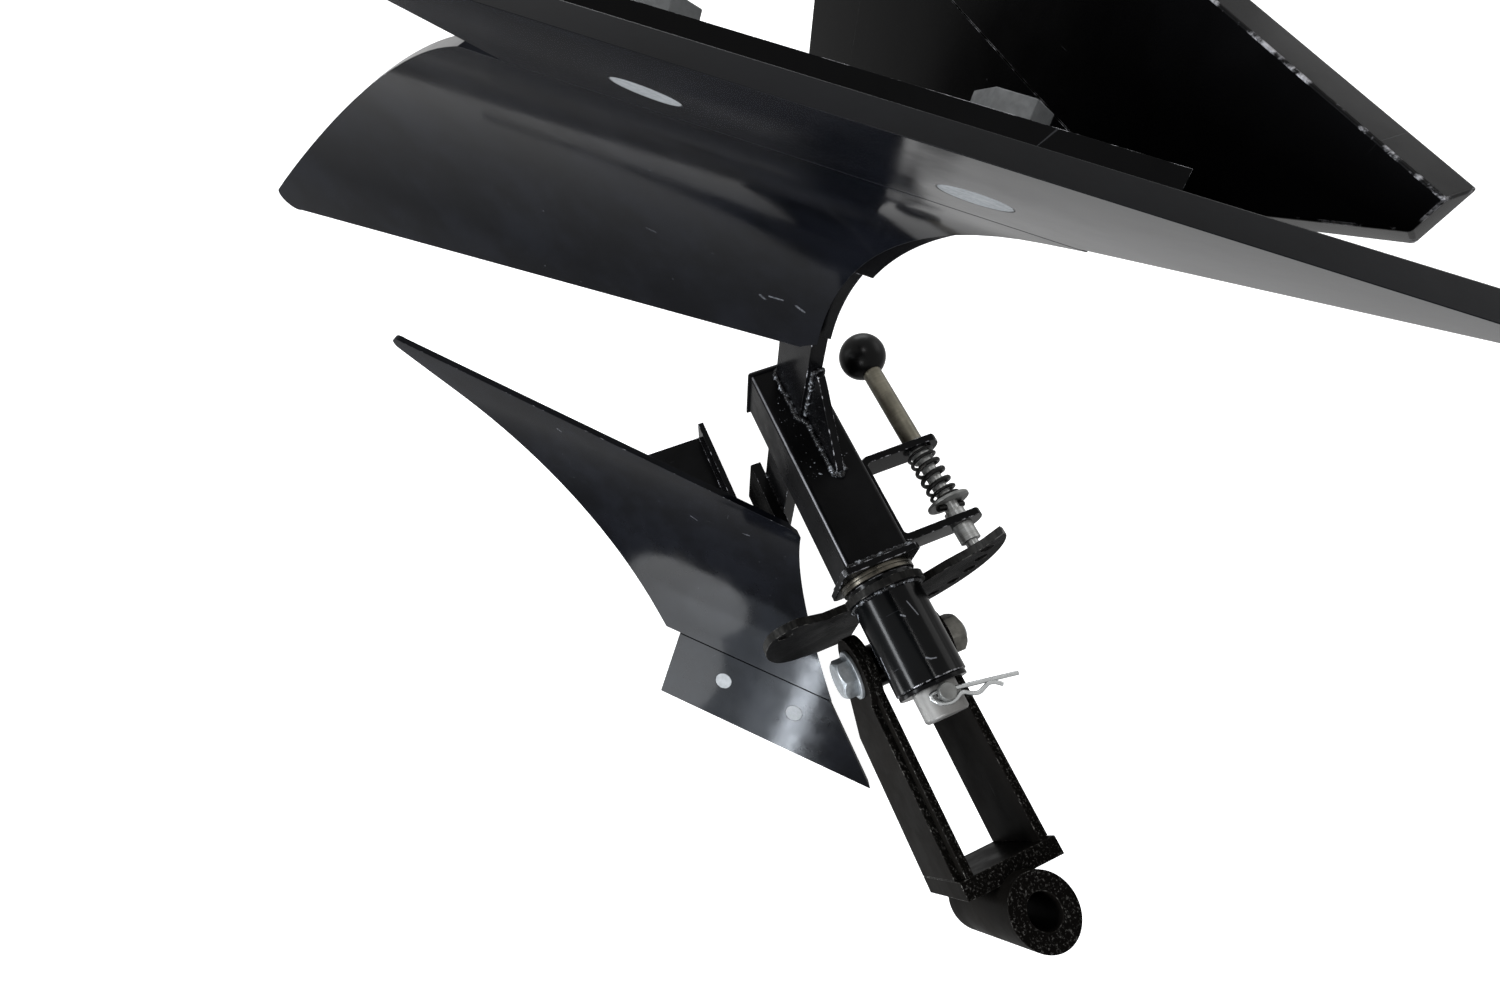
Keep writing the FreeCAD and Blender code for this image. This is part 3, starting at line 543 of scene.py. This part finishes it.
def softened(node, width, finish, edge, segments=2, angle=30.0):
    """A copy of a solid with its sharp edges broken, so that they catch the light; the break has its own finish."""
    source = FRAME["nodes"][node]
    only(source)
    bpy.ops.object.duplicate()
    piece = named(bpy.context.view_layer.objects.active, node + "_shown")
    with edit_mode():
        bpy.ops.mesh.remove_doubles(threshold=0.000002)
        bpy.ops.mesh.dissolve_limited(angle_limit=math.radians(0.5))
    coat(piece, finish, edge)
    for polygon in piece.data.polygons:
        polygon.material_index = 0
    bevel = piece.modifiers.new("edges", "BEVEL")
    bevel.width = width / 1000
    bevel.segments = segments
    bevel.limit_method = "ANGLE"
    bevel.angle_limit = math.radians(angle)
    bevel.material = 1
    bevel.use_clamp_overlap = True
    bevel.miter_outer = "MITER_ARC"
    apply_modifiers(piece)
    smooth(piece, 32.0)
    weighted = piece.modifiers.new("flat_faces", "WEIGHTED_NORMAL")
    weighted.keep_sharp = True
    weighted.weight = 80
    apply_modifiers(piece)
    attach(piece, BODY_OF[node])
    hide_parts(node)
    return piece


def drops(name, body, squash, places):
    """One flattened ball of 1 mm radius, copied to every place and joined, as weld metal."""
    bpy.ops.mesh.primitive_ico_sphere_add(subdivisions=2, radius=0.001, location=(0, 0, 0))
    drop = bpy.context.active_object
    with edit_mode():
        bpy.ops.transform.resize(value=squash)
    made = []
    for place in places:
        copy = drop.copy()
        copy.data = drop.data.copy()
        bpy.context.collection.objects.link(copy)
        copy.data.transform(place)
        made.append(copy)
    bpy.data.objects.remove(drop)
    piece = joined(made, name)
    smooth(piece, 60.0)
    give(piece, body, "steel_black", "weld_metal")


def bead(name, body, runs, radius, seed):
    """A weld bead of overlapping ripples along each run of points, with its radius in millimetres."""
    chance = random.Random(seed)
    spacing, wander = radius * 0.55 / 1000, radius * 0.16 / 1000
    places = []
    for run in runs:
        points = [at(*point) for point in run]
        for a, b in zip(points, points[1:]):
            count = max(2, int((b - a).length / spacing))
            turn = (b - a).normalized().to_track_quat("X", "Z").to_matrix().to_4x4()
            for k in range(count + 1):
                jitter = Vector([chance.uniform(-1, 1) for _ in range(3)])
                spot = a.lerp(b, k / count) + jitter * wander
                size = chance.uniform(0.78, 1.16)
                places.append(Matrix.Translation(spot) @ turn @ Matrix.Scale(size * radius, 4))
    drops(name, body, (0.72, 1.0, 1.0), places)


def dots(name, body, spots, flat_axis):
    """Small flattened drops of weld spatter at (x, y, z, radius) spots in millimetres."""
    squash = [1.0, 1.0, 1.0]
    squash[flat_axis] = 0.55
    places = [Matrix.Translation(at(x, y, z)) @ Matrix.Scale(radius, 4) for x, y, z, radius in spots]
    drops(name, body, squash, places)


def wire(name, points, diameter):
    """Round wire along a smooth curve through the space between the points, closed at both ends."""
    bpy.ops.curve.primitive_nurbs_path_add(location=(0, 0, 0))
    path = bpy.context.active_object
    spline = path.data.splines[0]
    spline.points.add(len(points) - len(spline.points))
    for point, place in zip(spline.points, points):
        point.co = (*at(*place), 1.0)
    spline.order_u = 3
    spline.use_endpoint_u = True
    spline.resolution_u = 8
    path.data.bevel_depth = diameter / 2000
    path.data.bevel_resolution = 4
    path.data.use_fill_caps = True
    only(path)
    bpy.ops.object.convert(target="MESH")
    piece = named(bpy.context.view_layer.objects.active, name)
    smooth(piece, 50.0)
    return piece


def hexagon_with_chamfer(name, across, low, high, centre, turn, chamfered_end):
    """A bolt head or nut along Y: a six-sided prism cut by a chamfered disc at its outer end."""
    def rod(sides, radius, roll):
        bpy.ops.mesh.primitive_cylinder_add(vertices=sides, radius=radius / 1000, depth=(high - low) / 1000,
                                            location=at(centre[0], (low + high) / 2, centre[1]),
                                            rotation=(math.radians(90), math.radians(roll), 0))
        made = bpy.context.active_object
        place_in_mesh(made)
        return made

    prism = rod(6, across / math.sqrt(3), turn)
    cutter = rod(64, across * 0.585, 0)
    end = at(0, low if chamfered_end < 0 else high, 0).y
    bpy.ops.object.mode_set(mode="EDIT")
    bpy.ops.mesh.select_all(action="DESELECT")
    bpy.ops.object.mode_set(mode="OBJECT")
    for polygon in cutter.data.polygons:
        polygon.select = len(polygon.vertices) > 10 and abs(polygon.center.y - end) < 1e-5
    bpy.ops.object.mode_set(mode="EDIT")
    bpy.ops.mesh.bevel(offset=across * 0.11 / 1000, segments=1, offset_type="OFFSET")
    bpy.ops.object.mode_set(mode="OBJECT")
    cut = prism.modifiers.new("chamfer", "BOOLEAN")
    cut.operation = "INTERSECT"
    cut.solver = "EXACT"
    cut.object = cutter
    round_edges = prism.modifiers.new("edges", "BEVEL")
    round_edges.width = 0.0004
    round_edges.segments = 2
    round_edges.limit_method = "ANGLE"
    round_edges.angle_limit = math.radians(22)
    apply_modifiers(prism)
    bpy.data.objects.remove(cutter)
    smooth(prism, 25.0)
    return named(prism, name)


def turned_disc(name, profile, centre_y, centre_z, axis="X", steps=64):
    """A round piece from a profile of (place along the axis, radius) points, spun about its axis."""
    bpy.ops.mesh.primitive_plane_add(size=0.001, location=(0, 0, 0))
    piece = bpy.context.active_object
    mesh = piece.data
    mesh.clear_geometry()
    mesh.vertices.add(len(profile))
    for vertex, (along, radius) in zip(mesh.vertices, profile):
        if axis == "X":
            vertex.co = at(along, centre_y, centre_z + radius)
        else:
            vertex.co = at(centre_y, along, centre_z + radius)
    mesh.edges.add(len(profile) - 1)
    for k, edge in enumerate(mesh.edges):
        edge.vertices = (k, k + 1)
    mesh.update()
    centre = at(0, centre_y, centre_z) if axis == "X" else at(centre_y, 0, centre_z)
    direction = (1, 0, 0) if axis == "X" else (0, 1, 0)
    only(piece)
    with edit_mode():
        bpy.ops.mesh.spin(steps=steps, angle=math.radians(360), center=centre, axis=direction, use_auto_merge=True)
        bpy.ops.mesh.select_all(action="SELECT")
        bpy.ops.mesh.remove_doubles(threshold=0.000005)
        bpy.ops.mesh.normals_make_consistent(inside=False)
    smooth(piece, 30.0)
    return named(piece, name)


# What a user may change


def colour_setting(name, description, default):
    return FloatVectorProperty(name=name, description=description, subtype="COLOR", default=default)


class PloughSizes(bpy.types.PropertyGroup):
    spring_wire: FloatProperty(name="Spring wire", description="Diameter of the lock spring's wire", default=0.0031,
                               unit="LENGTH")
    spring_mean: FloatProperty(name="Spring mean diameter", description="Mean diameter of the lock spring's coil",
                               default=0.0202, unit="LENGTH")
    spring_turns: FloatProperty(name="Spring turns", description="Turns of the lock spring", default=6.5)
    clip_wire: FloatProperty(name="Hairpin wire", description="Diameter of the hairpin's wire", default=0.003,
                             unit="LENGTH")
    edge_break: FloatProperty(name="Edge break", default=0.55,
                              description="Width of the broken edges on cut plate, in millimetres")
    bead_leg: FloatProperty(name="Leg weld", description="Radius of the weld bead round the legs, in millimetres",
                            default=2.7)
    bead_flange: FloatProperty(name="Flange weld", default=2.1,
                               description="Radius of the weld bead at the flange, in millimetres")
    spatter_count: IntProperty(name="Spatter", default=46,
                               description="Number of spatter drops beside each leg weld")


class PloughColours(bpy.types.PropertyGroup):
    frame: colour_setting("Frame paint", "Black of beam, legs and bracket", (0.0020, 0.0020, 0.0022))
    board: colour_setting("Board paint", "Blue-black of mouldboards and shares", (0.0022, 0.0025, 0.0036))
    sleeve: colour_setting("Sleeve paint", "Black of the turnover sleeve", (0.0016, 0.0018, 0.0020))
    hitch: colour_setting("Hitch paint", "Brown-black of the hitch plates", (0.0045, 0.0040, 0.0035))
    dust: colour_setting("Dust", "Film of dust on paint", (0.016, 0.017, 0.020))
    bare_mark: colour_setting("Marks", "Scratches and flecks in the paint", (0.32, 0.33, 0.36))
    # Pale edge colour: rubbed wear on the bevels, and on the beam's corners also a painted highlight
    rubbed_edge_and_painted_highlight: colour_setting("Rubbed edge", "Edges rubbed pale", (0.36, 0.36, 0.38))
    worn_speckle: colour_setting("Worn steel", "Steel showing on worn plate edges", (0.10, 0.097, 0.09))
    weld: colour_setting("Weld", "Painted weld metal", (0.004, 0.004, 0.0045))
    # Colour of the paler weld tops, brightened as a painted highlight for glints
    weld_light: colour_setting("Weld tops", "Paler tops of the weld ripples", (0.30, 0.315, 0.34))
    zinc: colour_setting("Zinc", "Zinc of the hairpin", (0.40, 0.41, 0.41))
    zinc_bolt: colour_setting("Bolt zinc", "Duller zinc of the cross bolt", (0.30, 0.32, 0.335))
    share_bolt: colour_setting("Share bolts", "Matt zinc of the share bolts", (0.19, 0.198, 0.203))
    pin: colour_setting("Lock pin front", "Rubbed steel of the lock pin's front part", (0.33, 0.335, 0.33))
    dull_zinc: colour_setting("Dull zinc", "Zinc of the spring washer and retaining pin", (0.17, 0.172, 0.165))
    nut: colour_setting("Old zinc", "Darkened zinc of the cross bolt's nut", (0.13, 0.125, 0.11))
    stain: colour_setting("Stain", "Dull stains on bright metal", (0.10, 0.095, 0.085))
    shaft: colour_setting("Shaft", "Turned steel of the pivot shaft", (0.165, 0.162, 0.155))
    handle: colour_setting("Handle", "Grey-brown steel of the lock pin", (0.16, 0.147, 0.113))
    ring: colour_setting("Thrust rings", "Oily steel of the thrust rings", (0.075, 0.068, 0.054))
    spring: colour_setting("Spring", "Blackened spring wire", (0.004, 0.0039, 0.0037))
    spring_worn: colour_setting("Worn spring", "Steel showing through on the spring wire", (0.05, 0.048, 0.044))
    knob: colour_setting("Knob", "Plastic of the ball knob", (0.0018, 0.0018, 0.0019))
    cap: colour_setting("Cap", "Rear cap of the beam", (0.0024, 0.0024, 0.0028))
    floor: colour_setting("Floor", "Floor and backdrop", (0.80, 0.80, 0.80))


# One operator for each piece or group


WHITE = (1, 1, 1, 1)
# Name, place, aim, size in metres, brightness, tint and shape of every lamp
LAMPS = (
    ("window_left", (112, -492, -304), (-130, -110, -300), (0.235, 0.22), 13.0, (0.96, 0.98, 1.0), "ELLIPSE"),
    ("window_low", (236, -466, -306), (-70, -76, -324), (0.24, 0.20), 2.6, (0.80, 0.89, 1.0), "ELLIPSE"),
    ("window_wide", (1080, -1660, -20), (-40, -80, -330), (0.62, 0.55), 4.0, (0.82, 0.9, 1.0)),
    ("window_strip", (2095, -2130, 190), (20, -40, -350), (0.085, 0.70), 165.0, (0.84, 0.91, 1.0)),
    ("window_haze", (1997, -2228, 190), (20, -40, -350), (0.22, 0.70), 8.0, (0.82, 0.9, 1.0)),
    ("knob_window", (1363, -1262, 814), (-177, 80, 0), (0.55, 0.45), 26.0, (0.97, 0.98, 1.0)),
    ("side_strip", (-170, -1470, 395), (55, -20, 16), (0.60, 0.24), 38.0, (0.92, 0.96, 1.0)),
    ("overhead_strip", (-105, -64, 1600), (75, 0, 26), (0.24, 0.30), 20.0, (1.0, 1.0, 1.0)),
    ("left_fill", (-300, 1500, 700), (0, 60, 0), (1.0, 0.7), 2.0, (1.0, 1.0, 1.0)),
    ("rear_window", (-1900, 700, 420), (-100, 0, -40), (1.1, 0.8), 3.5, (0.95, 0.98, 1.0)),
    ("rear_right", (-1300, -1500, 260), (-100, 0, -40), (0.5, 1.2), 3.0, (0.95, 0.98, 1.0)),
)


class PLOUGH_OT_stage(bpy.types.Operator):
    """Camera, plain floor, world and soft lamps"""

    bl_idname = "plough.stage"
    bl_label = "Stage"

    def execute(self, context):
        scene = context.scene
        scene.view_settings.view_transform = "Standard"
        camera_data = bpy.data.cameras.new("plough_camera")
        camera_data.sensor_fit = "HORIZONTAL"
        camera_data.sensor_width = 36.0
        focal_pixels, picture_pixels = 701.0, 1500.0
        camera_data.lens = focal_pixels / picture_pixels * camera_data.sensor_width
        camera_data.clip_start = 0.01
        camera = bpy.data.objects.new("plough_camera", camera_data)
        context.collection.objects.link(camera)
        # Solved from the photo: the picture's right and its line of sight, made square to each other
        right = Vector((0.383, 0.923, 0.028)).normalized()
        forward = Vector((-0.394, 0.191, -0.899))
        forward = (forward - right * forward.dot(right)).normalized()
        up = right.cross(forward)
        turn = Matrix((right, up, -forward)).transposed().to_4x4()
        camera.matrix_world = Matrix.Translation(at(126.2, -165.1, 485.1)) @ turn
        scene.camera = camera

        ground = CAD_BOX[0][2]
        bpy.ops.mesh.primitive_plane_add(size=14.0, location=(0, 0, ground - 0.0005))
        floor = context.active_object
        place_in_mesh(floor)
        floor.name = "floor"
        floor.data.materials.clear()
        floor.data.materials.append(self.floor_material())

        world = bpy.data.worlds.new("studio")
        scene.world = world
        world.use_nodes = True
        nodes = Nodes(world.node_tree)
        path = nodes.add("ShaderNodeLightPath").outputs
        mirrored = nodes.maths("MAXIMUM", path["Is Glossy Ray"], path["Is Transmission Ray"])
        seen = nodes.maths("MAXIMUM", path["Is Camera Ray"], mirrored)
        lit = nodes.add("ShaderNodeBackground", WHITE, 0.42)
        shown = nodes.add("ShaderNodeBackground", WHITE, 1.0)
        mix = nodes.add("ShaderNodeMixShader", seen, lit.outputs[0], shown.outputs[0])
        nodes.add("ShaderNodeOutputWorld", mix.outputs[0])

        for lamp in LAMPS:
            self.lamp(*lamp)
        return {"FINISHED"}

    def lamp(self, name, place, aim, size, brightness, tint, shape="RECTANGLE"):
        place, aim = at(*place), at(*aim)
        data = bpy.data.lights.new(name, "AREA")
        data.color = tint
        data.shape = shape
        data.size, data.size_y = size
        area = size[0] * size[1] * (math.pi / 4 if shape == "ELLIPSE" else 1.0)
        data.energy = brightness * math.pi * area
        lamp = bpy.data.objects.new(name, data)
        bpy.context.collection.objects.link(lamp)
        lamp.matrix_world = Matrix.Translation(place) @ (aim - place).to_track_quat("-Z", "Y").to_matrix().to_4x4()
        lamp.visible_camera = False

    def floor_material(self):
        """Floor that glows towards the camera and is an even white in mirrored rays."""
        f = Finish("floor_material")
        path = f.add("ShaderNodeLightPath").outputs
        mirrored = f.maths("MAXIMUM", path["Is Glossy Ray"], path["Is Transmission Ray"])
        base = f.mottled((3.0, 3.0), (0.3, 0.7), shade("floor", 0.98), shade("floor"))
        f.finish(Base_Color=base, Roughness=0.9, Specular_IOR_Level=0.1)
        plain = f.shader.outputs[0]
        glow = f.add("ShaderNodeEmission", WHITE, 0.75).outputs[0]
        glowing = f.add("ShaderNodeAddShader", plain, glow).outputs[0]
        seen = f.add("ShaderNodeMixShader", path["Is Camera Ray"], plain, glowing).outputs[0]
        white = f.add("ShaderNodeEmission", WHITE, 0.6).outputs[0]
        f.plug(f.add("ShaderNodeMixShader", mirrored, seen, white).outputs[0], f.output.inputs["Surface"])
        return f.material


class PLOUGH_OT_plates(bpy.types.Operator):
    """Flat plates of the frame with broken edges"""

    bl_idname = "plough.plates"
    bl_label = "Plates"

    def execute(self, context):
        width = sizes().edge_break
        for side in ("lower", "upper"):
            for node in ("leg", "gusset", "stay", "landside", "frog"):
                softened(node + "_" + side, width, "frame_paint", "frame_edge")
        softened("lock_bracket", width, "frame_paint", "frame_edge", angle=40.0)
        softened("beam_flange", width, "frame_paint", "frame_edge")
        softened("beam_end_cap", 0.9, "cap", "cap", segments=3)
        softened("end_washer", 0.5, "frame_paint", "frame_paint", angle=40.0)
        return {"FINISHED"}


class PLOUGH_OT_boards(bpy.types.Operator):
    """Mouldboards and shares with ground edges"""

    bl_idname = "plough.boards"
    bl_label = "Boards"

    def execute(self, context):
        for side in ("lower", "upper"):
            softened("mouldboard_" + side, 0.8, "board_paint", "board_edge")
            softened("share_" + side, 0.9, "board_paint", "board_edge")
            softened("share_bolts_" + side, 0.35, "share_bolt", "share_bolt")
        return {"FINISHED"}


class PLOUGH_OT_beam(bpy.types.Operator):
    """Beam tube finish and the turnover sleeve"""

    bl_idname = "plough.beam"
    bl_label = "Beam and sleeve"

    def execute(self, context):
        for node, finish in (("beam", "beam_paint"), ("pitch_bush", "frame_paint")):
            shown = FRAME["nodes"][node]
            coat(shown, finish)
            smooth(shown, 25.0)
        softened("sleeve", 0.8, "sleeve_paint", "frame_edge", segments=3, angle=50.0)
        return {"FINISHED"}


class PLOUGH_OT_index(bpy.types.Operator):
    """Index plate with its worn edge"""

    bl_idname = "plough.index"
    bl_label = "Index plate"

    def execute(self, context):
        softened("index_plate", 0.6, "index_paint", "index_edge", angle=40.0)
        return {"FINISHED"}


class PLOUGH_OT_hitch(bpy.types.Operator):
    """Cheeks, side plates, hitch plate and tube"""

    bl_idname = "plough.hitch"
    bl_label = "Hitch"

    def execute(self, context):
        for node in ("cheek_left", "cheek_right", "side_plate_left", "side_plate_right", "hitch_plate"):
            softened(node, 0.6, "cheek_paint", "hitch_edge", angle=40.0)
        softened("hitch_tube", 0.8, "cheek_paint", "hitch_edge", angle=50.0)
        return {"FINISHED"}


class PLOUGH_OT_cross_bolt(bpy.types.Operator):
    """Cross bolt with a chamfered head, its nut and washers"""

    bl_idname = "plough.cross_bolt"
    bl_label = "Cross bolt"

    def execute(self, context):
        low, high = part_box("pitch_bolt")
        washer_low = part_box("pitch_washer_right")[0]
        nut_low, nut_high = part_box("pitch_nut")
        centre = ((low[0] + high[0]) / 2 - PIVOT.x) * 1000, ((low[2] + high[2]) / 2 - PIVOT.z) * 1000
        # Sizes in millimetres; the hexagons are turned by some degrees as in the photo
        across, turn, radius, chamfer, overlap = 27.0, 24.0, 9.0, 1.4, 0.2
        head_outer, head_inner, tip = low[1] * 1000, washer_low[1] * 1000, high[1] * 1000
        head = hexagon_with_chamfer("cross_bolt_head", across, head_outer, head_inner, centre, turn, -1)
        profile = [(head_inner - overlap, 0.0), (head_inner - overlap, radius), (tip - chamfer, radius),
                   (tip, radius - chamfer), (tip, 0.0)]
        shank = turned_disc("cross_bolt_shank", profile, *centre, "Y", 48)
        bolt = joined([head, shank], "cross_bolt")
        give(bolt, "hitch", "zinc", "zinc_bolt")
        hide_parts("pitch_bolt")
        nut = hexagon_with_chamfer("cross_nut", across, nut_low[1] * 1000, nut_high[1] * 1000, centre, turn, 1)
        give(nut, "hitch", "zinc", "old_zinc")
        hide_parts("pitch_nut")
        softened("pitch_washer_right", 0.7, "zinc_bolt", "zinc_bolt", segments=3, angle=50.0)
        softened("pitch_washer_left", 0.7, "zinc_bolt", "zinc_bolt", segments=3, angle=50.0)
        return {"FINISHED"}


class PLOUGH_OT_pivot(bpy.types.Operator):
    """Turned shaft, thrust rings, retaining pin and hairpin"""

    bl_idname = "plough.pivot"
    bl_label = "Pivot"

    def execute(self, context):
        rear, front = [(corner[0] - PIVOT.x) * 1000 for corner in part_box("pivot_shaft")]
        radius = 16.0
        profile = [(rear, 0.0), (rear, radius), (front - 1.9, radius), (front - 1.5, 15.9), (front - 0.2, 14.7),
                   (front, 14.2), (front, 0.0)]
        shaft = turned_disc("turned_shaft", profile, 0.0, 0.0, "X", 72)
        give(shaft, "plough", "raw", "shaft")
        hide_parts("pivot_shaft")
        for number in (1, 2):
            softened("thrust_ring_%d" % number, 0.5, "ring", "ring", angle=50.0)
        softened("retaining_pin", 0.5, "dull_zinc", "dull_zinc", angle=50.0)
        # The hairpin's straight leg, then its bend and its waved leg
        straight = [(106.6, 52, 17), (102.2, 26, 17), (98.6, 4, 17), (96.9, -4, 17), (96.8, -8.0, 17)]
        waved = [(97.6, -10.2, 17), (100.6, -10.2, 17), (104.3, -6.8, 17), (106.3, -1.0, 17), (105.8, 4.5, 17),
                 (103.6, 8.5, 17), (103.4, 11.5, 17), (106.0, 15.2, 17), (108.2, 20.5, 17), (106.4, 25.6, 17),
                 (104.6, 30.3, 17), (106.1, 35.1, 17), (109.3, 38.5, 17)]
        clip = wire("hairpin", straight + waved, sizes().clip_wire * 1000)
        give(clip, "plough", "zinc", "hairpin")
        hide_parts("hairpin_clip")
        return {"FINISHED"}


class PLOUGH_OT_lock(bpy.types.Operator):
    """Lock pin, ball knob, coil spring, washer and roll pin"""

    bl_idname = "plough.lock"
    bl_label = "Lock"

    def execute(self, context):
        softened("lock_pin", 0.5, "lock_pin", "lock_pin", angle=50.0)
        softened("spring_washer", 0.5, "dull_zinc", "dull_zinc", segments=3, angle=50.0)
        softened("roll_pin", 0.5, "spring", "spring", angle=50.0)
        knob = FRAME["nodes"]["ball_knob"]
        coat(knob, "knob")
        smooth(knob, 40.0)
        self.coil()
        return {"FINISHED"}

    def coil(self):
        """Round wire wound by the screw modifier, its end turns closed up."""
        low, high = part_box("lock_spring")
        wire_size, mean, turns = sizes().spring_wire, sizes().spring_mean, sizes().spring_turns
        length = high[0] - low[0]
        centre = Vector((0, (low[1] + high[1]) / 2, (low[2] + high[2]) / 2))
        bpy.ops.mesh.primitive_circle_add(vertices=12, radius=wire_size / 2, location=(0, mean / 2, 0))
        coil = bpy.context.active_object
        place_in_mesh(coil)
        screw = coil.modifiers.new("turns", "SCREW")
        screw.axis = "X"
        screw.iterations = 1
        steps_per_turn = 40
        screw.steps = int(steps_per_turn * turns)
        screw.render_steps = screw.steps
        screw.angle = math.radians(360 * turns)
        screw.screw_offset = length - wire_size
        screw.use_normal_calculate = True
        apply_modifiers(coil)
        with edit_mode():
            bpy.ops.mesh.remove_doubles(threshold=0.000001)
            bpy.ops.mesh.select_all(action="DESELECT")
            bpy.ops.mesh.select_non_manifold()
            bpy.ops.mesh.edge_face_add()
            bpy.ops.mesh.select_all(action="SELECT")
            bpy.ops.mesh.normals_make_consistent(inside=False)
        span, closing = length - wire_size, 0.055
        for vertex in coil.data.vertices:
            share = min(1.0, max(0.0, vertex.co.x / span))
            vertex.co.x -= closing * math.sin(2 * math.pi * share) * span
        xs = [vertex.co.x for vertex in coil.data.vertices]
        start = min(xs)
        fit = length / (max(xs) - start)
        for vertex in coil.data.vertices:
            vertex.co.x = low[0] + (vertex.co.x - start) * fit
            vertex.co.y += centre.y
            vertex.co.z += centre.z
        coil.data.update()
        smooth(named(coil, "spring_coil"), 60.0)
        give(coil, "plough", "spring", "spring")
        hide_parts("lock_spring")
        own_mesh(coil)


class PLOUGH_OT_welds(bpy.types.Operator):
    """Weld beads and spatter"""

    bl_idname = "plough.welds"
    bl_label = "Welds"

    def execute(self, context):
        leg, flange = sizes().bead_leg, sizes().bead_flange
        # Height of the beads on the beam's faces, from its axis
        face = 25.6
        for side, sign in (("upper", 1), ("lower", -1)):
            z = face * sign
            runs = [[(-171, -6.2, z), (-127, -6.0, z)], [(-127, -6.0, z), (-121, -1.0, z)],
                    [(-121, -1.0, z), (-72, -0.6, z)], [(-72, -0.6, z), (-69, 3.5, z), (-72, 7.6, z)],
                    [(-72, 7.6, z), (-126, 7.6, z)], [(-126, 8.0, z), (-171, 8.2, z)],
                    [(-172.6, -5, z), (-172.6, 7, z)]]
            bead("leg_weld_" + side, "plough", runs, leg, 11 + sign)
            foot, top = 30 * sign, 83 * sign
            runs = [[(-125.4, -0.2, foot), (-125.4, -0.2, top)], [(-125.4, 7.2, foot), (-125.4, 7.2, top)],
                    [(-125.0, 0.5, top + sign), (-125.0, 6.5, top + sign)]]
            bead("gusset_weld_" + side, "plough", runs, leg * 0.72, 21 + sign)
            runs = [[(-172, -5.4, 146 * sign), (-127, -5.4, 146 * sign)]]
            bead("stay_weld_" + side, "plough", runs, leg * 0.8, 31 + sign)
        runs = [[(-1.2, -23, face), (-1.2, 23, face)], [(-1.2, face, 23), (-1.2, face, -23)],
                [(-1.2, 23, -face), (-1.2, -23, -face)], [(-1.2, -face, -23), (-1.2, -face, 23)]]
        bead("flange_weld", "plough", runs, flange, 41)
        radius, turns = 26.6, [math.radians(angle) for angle in range(0, 361, 15)]
        circle = [(22.4, radius * math.cos(turn), radius * math.sin(turn)) for turn in turns]
        bead("index_weld", "head", [circle], 1.7, 43)
        width = 13.6
        runs = [[(-72, 25.4, width), (-17, 25.4, width)], [(-72, 25.4, -width), (-17, 25.4, -width)]]
        bead("bracket_weld", "plough", runs, 1.6, 47)
        self.spatter()
        return {"FINISHED"}

    def spatter(self):
        chance = random.Random(5)
        # On the beam's faces, thickest beside the legs
        spots, face = [], 25.05
        for sign in (1, -1):
            for _ in range(sizes().spatter_count):
                x = chance.uniform(-150, -72)
                near = abs(chance.gauss(0, 6.0))
                spots.append((x, -9.0 - near if chance.random() < 0.8 else 10 + near * 0.8, face * sign,
                              chance.uniform(0.25, 0.75)))
        spots = [s for s in spots if -22 < s[1] < 22]
        dots("beam_spatter", "plough", spots, 2)
        # On the gussets, within their sloping edge
        spots, rear, length, foot, height, margin = [], -126, 56, 32, 52.0, 6
        for sign in (1, -1):
            for _ in range(30):
                x = chance.uniform(-124, -98)
                z = chance.uniform(30, 80)
                if x < rear + length * (1 - (z - foot) / height) - margin:
                    spots.append((x, 0.45, z * sign, chance.uniform(0.25, 0.8)))
        dots("gusset_spatter", "plough", spots, 1)
        # On the index plate, below and to the right of the sleeve
        spots = []
        for _ in range(30):
            angle = chance.uniform(0, 2 * math.pi)
            radius = chance.uniform(29, 46)
            spots.append((22.0, radius * math.cos(angle), radius * math.sin(angle), chance.uniform(0.25, 0.6)))
        spots = [s for s in spots if s[1] < -20 and s[2] < 0]
        if spots:
            dots("index_spatter", "head", spots, 0)


class PLOUGH_PT_panel(bpy.types.Panel):
    """Sizes, colours and pieces of the plough"""

    bl_label = "Reversible plough"
    bl_idname = "PLOUGH_PT_panel"
    bl_space_type = "VIEW_3D"
    bl_region_type = "UI"
    bl_category = "Plough"

    def draw(self, context):
        layout = self.layout
        for group in (context.scene.plough_sizes, context.scene.plough_colours):
            box = layout.box()
            for name in group.__annotations__:
                box.prop(group, name)
        for operator in OPERATORS:
            layout.operator(operator.bl_idname)


OPERATORS = (
    PLOUGH_OT_stage,
    PLOUGH_OT_plates,
    PLOUGH_OT_boards,
    PLOUGH_OT_beam,
    PLOUGH_OT_index,
    PLOUGH_OT_hitch,
    PLOUGH_OT_cross_bolt,
    PLOUGH_OT_pivot,
    PLOUGH_OT_lock,
    PLOUGH_OT_welds,
)
CLASSES = (PloughSizes, PloughColours) + OPERATORS + (PLOUGH_PT_panel,)


def register():
    for item in CLASSES:
        bpy.utils.register_class(item)
    bpy.types.Scene.plough_sizes = PointerProperty(type=PloughSizes)
    bpy.types.Scene.plough_colours = PointerProperty(type=PloughColours)


def unregister():
    del bpy.types.Scene.plough_colours
    del bpy.types.Scene.plough_sizes
    for item in reversed(CLASSES):
        bpy.utils.unregister_class(item)


def main():
    register()
    bpy.ops.plough.stage()
    bpy.ops.plough.plates()
    bpy.ops.plough.boards()
    bpy.ops.plough.beam()
    bpy.ops.plough.index()
    bpy.ops.plough.hitch()
    bpy.ops.plough.cross_bolt()
    bpy.ops.plough.pivot()
    bpy.ops.plough.lock()
    bpy.ops.plough.welds()


if __name__ == "__main__":
    main()
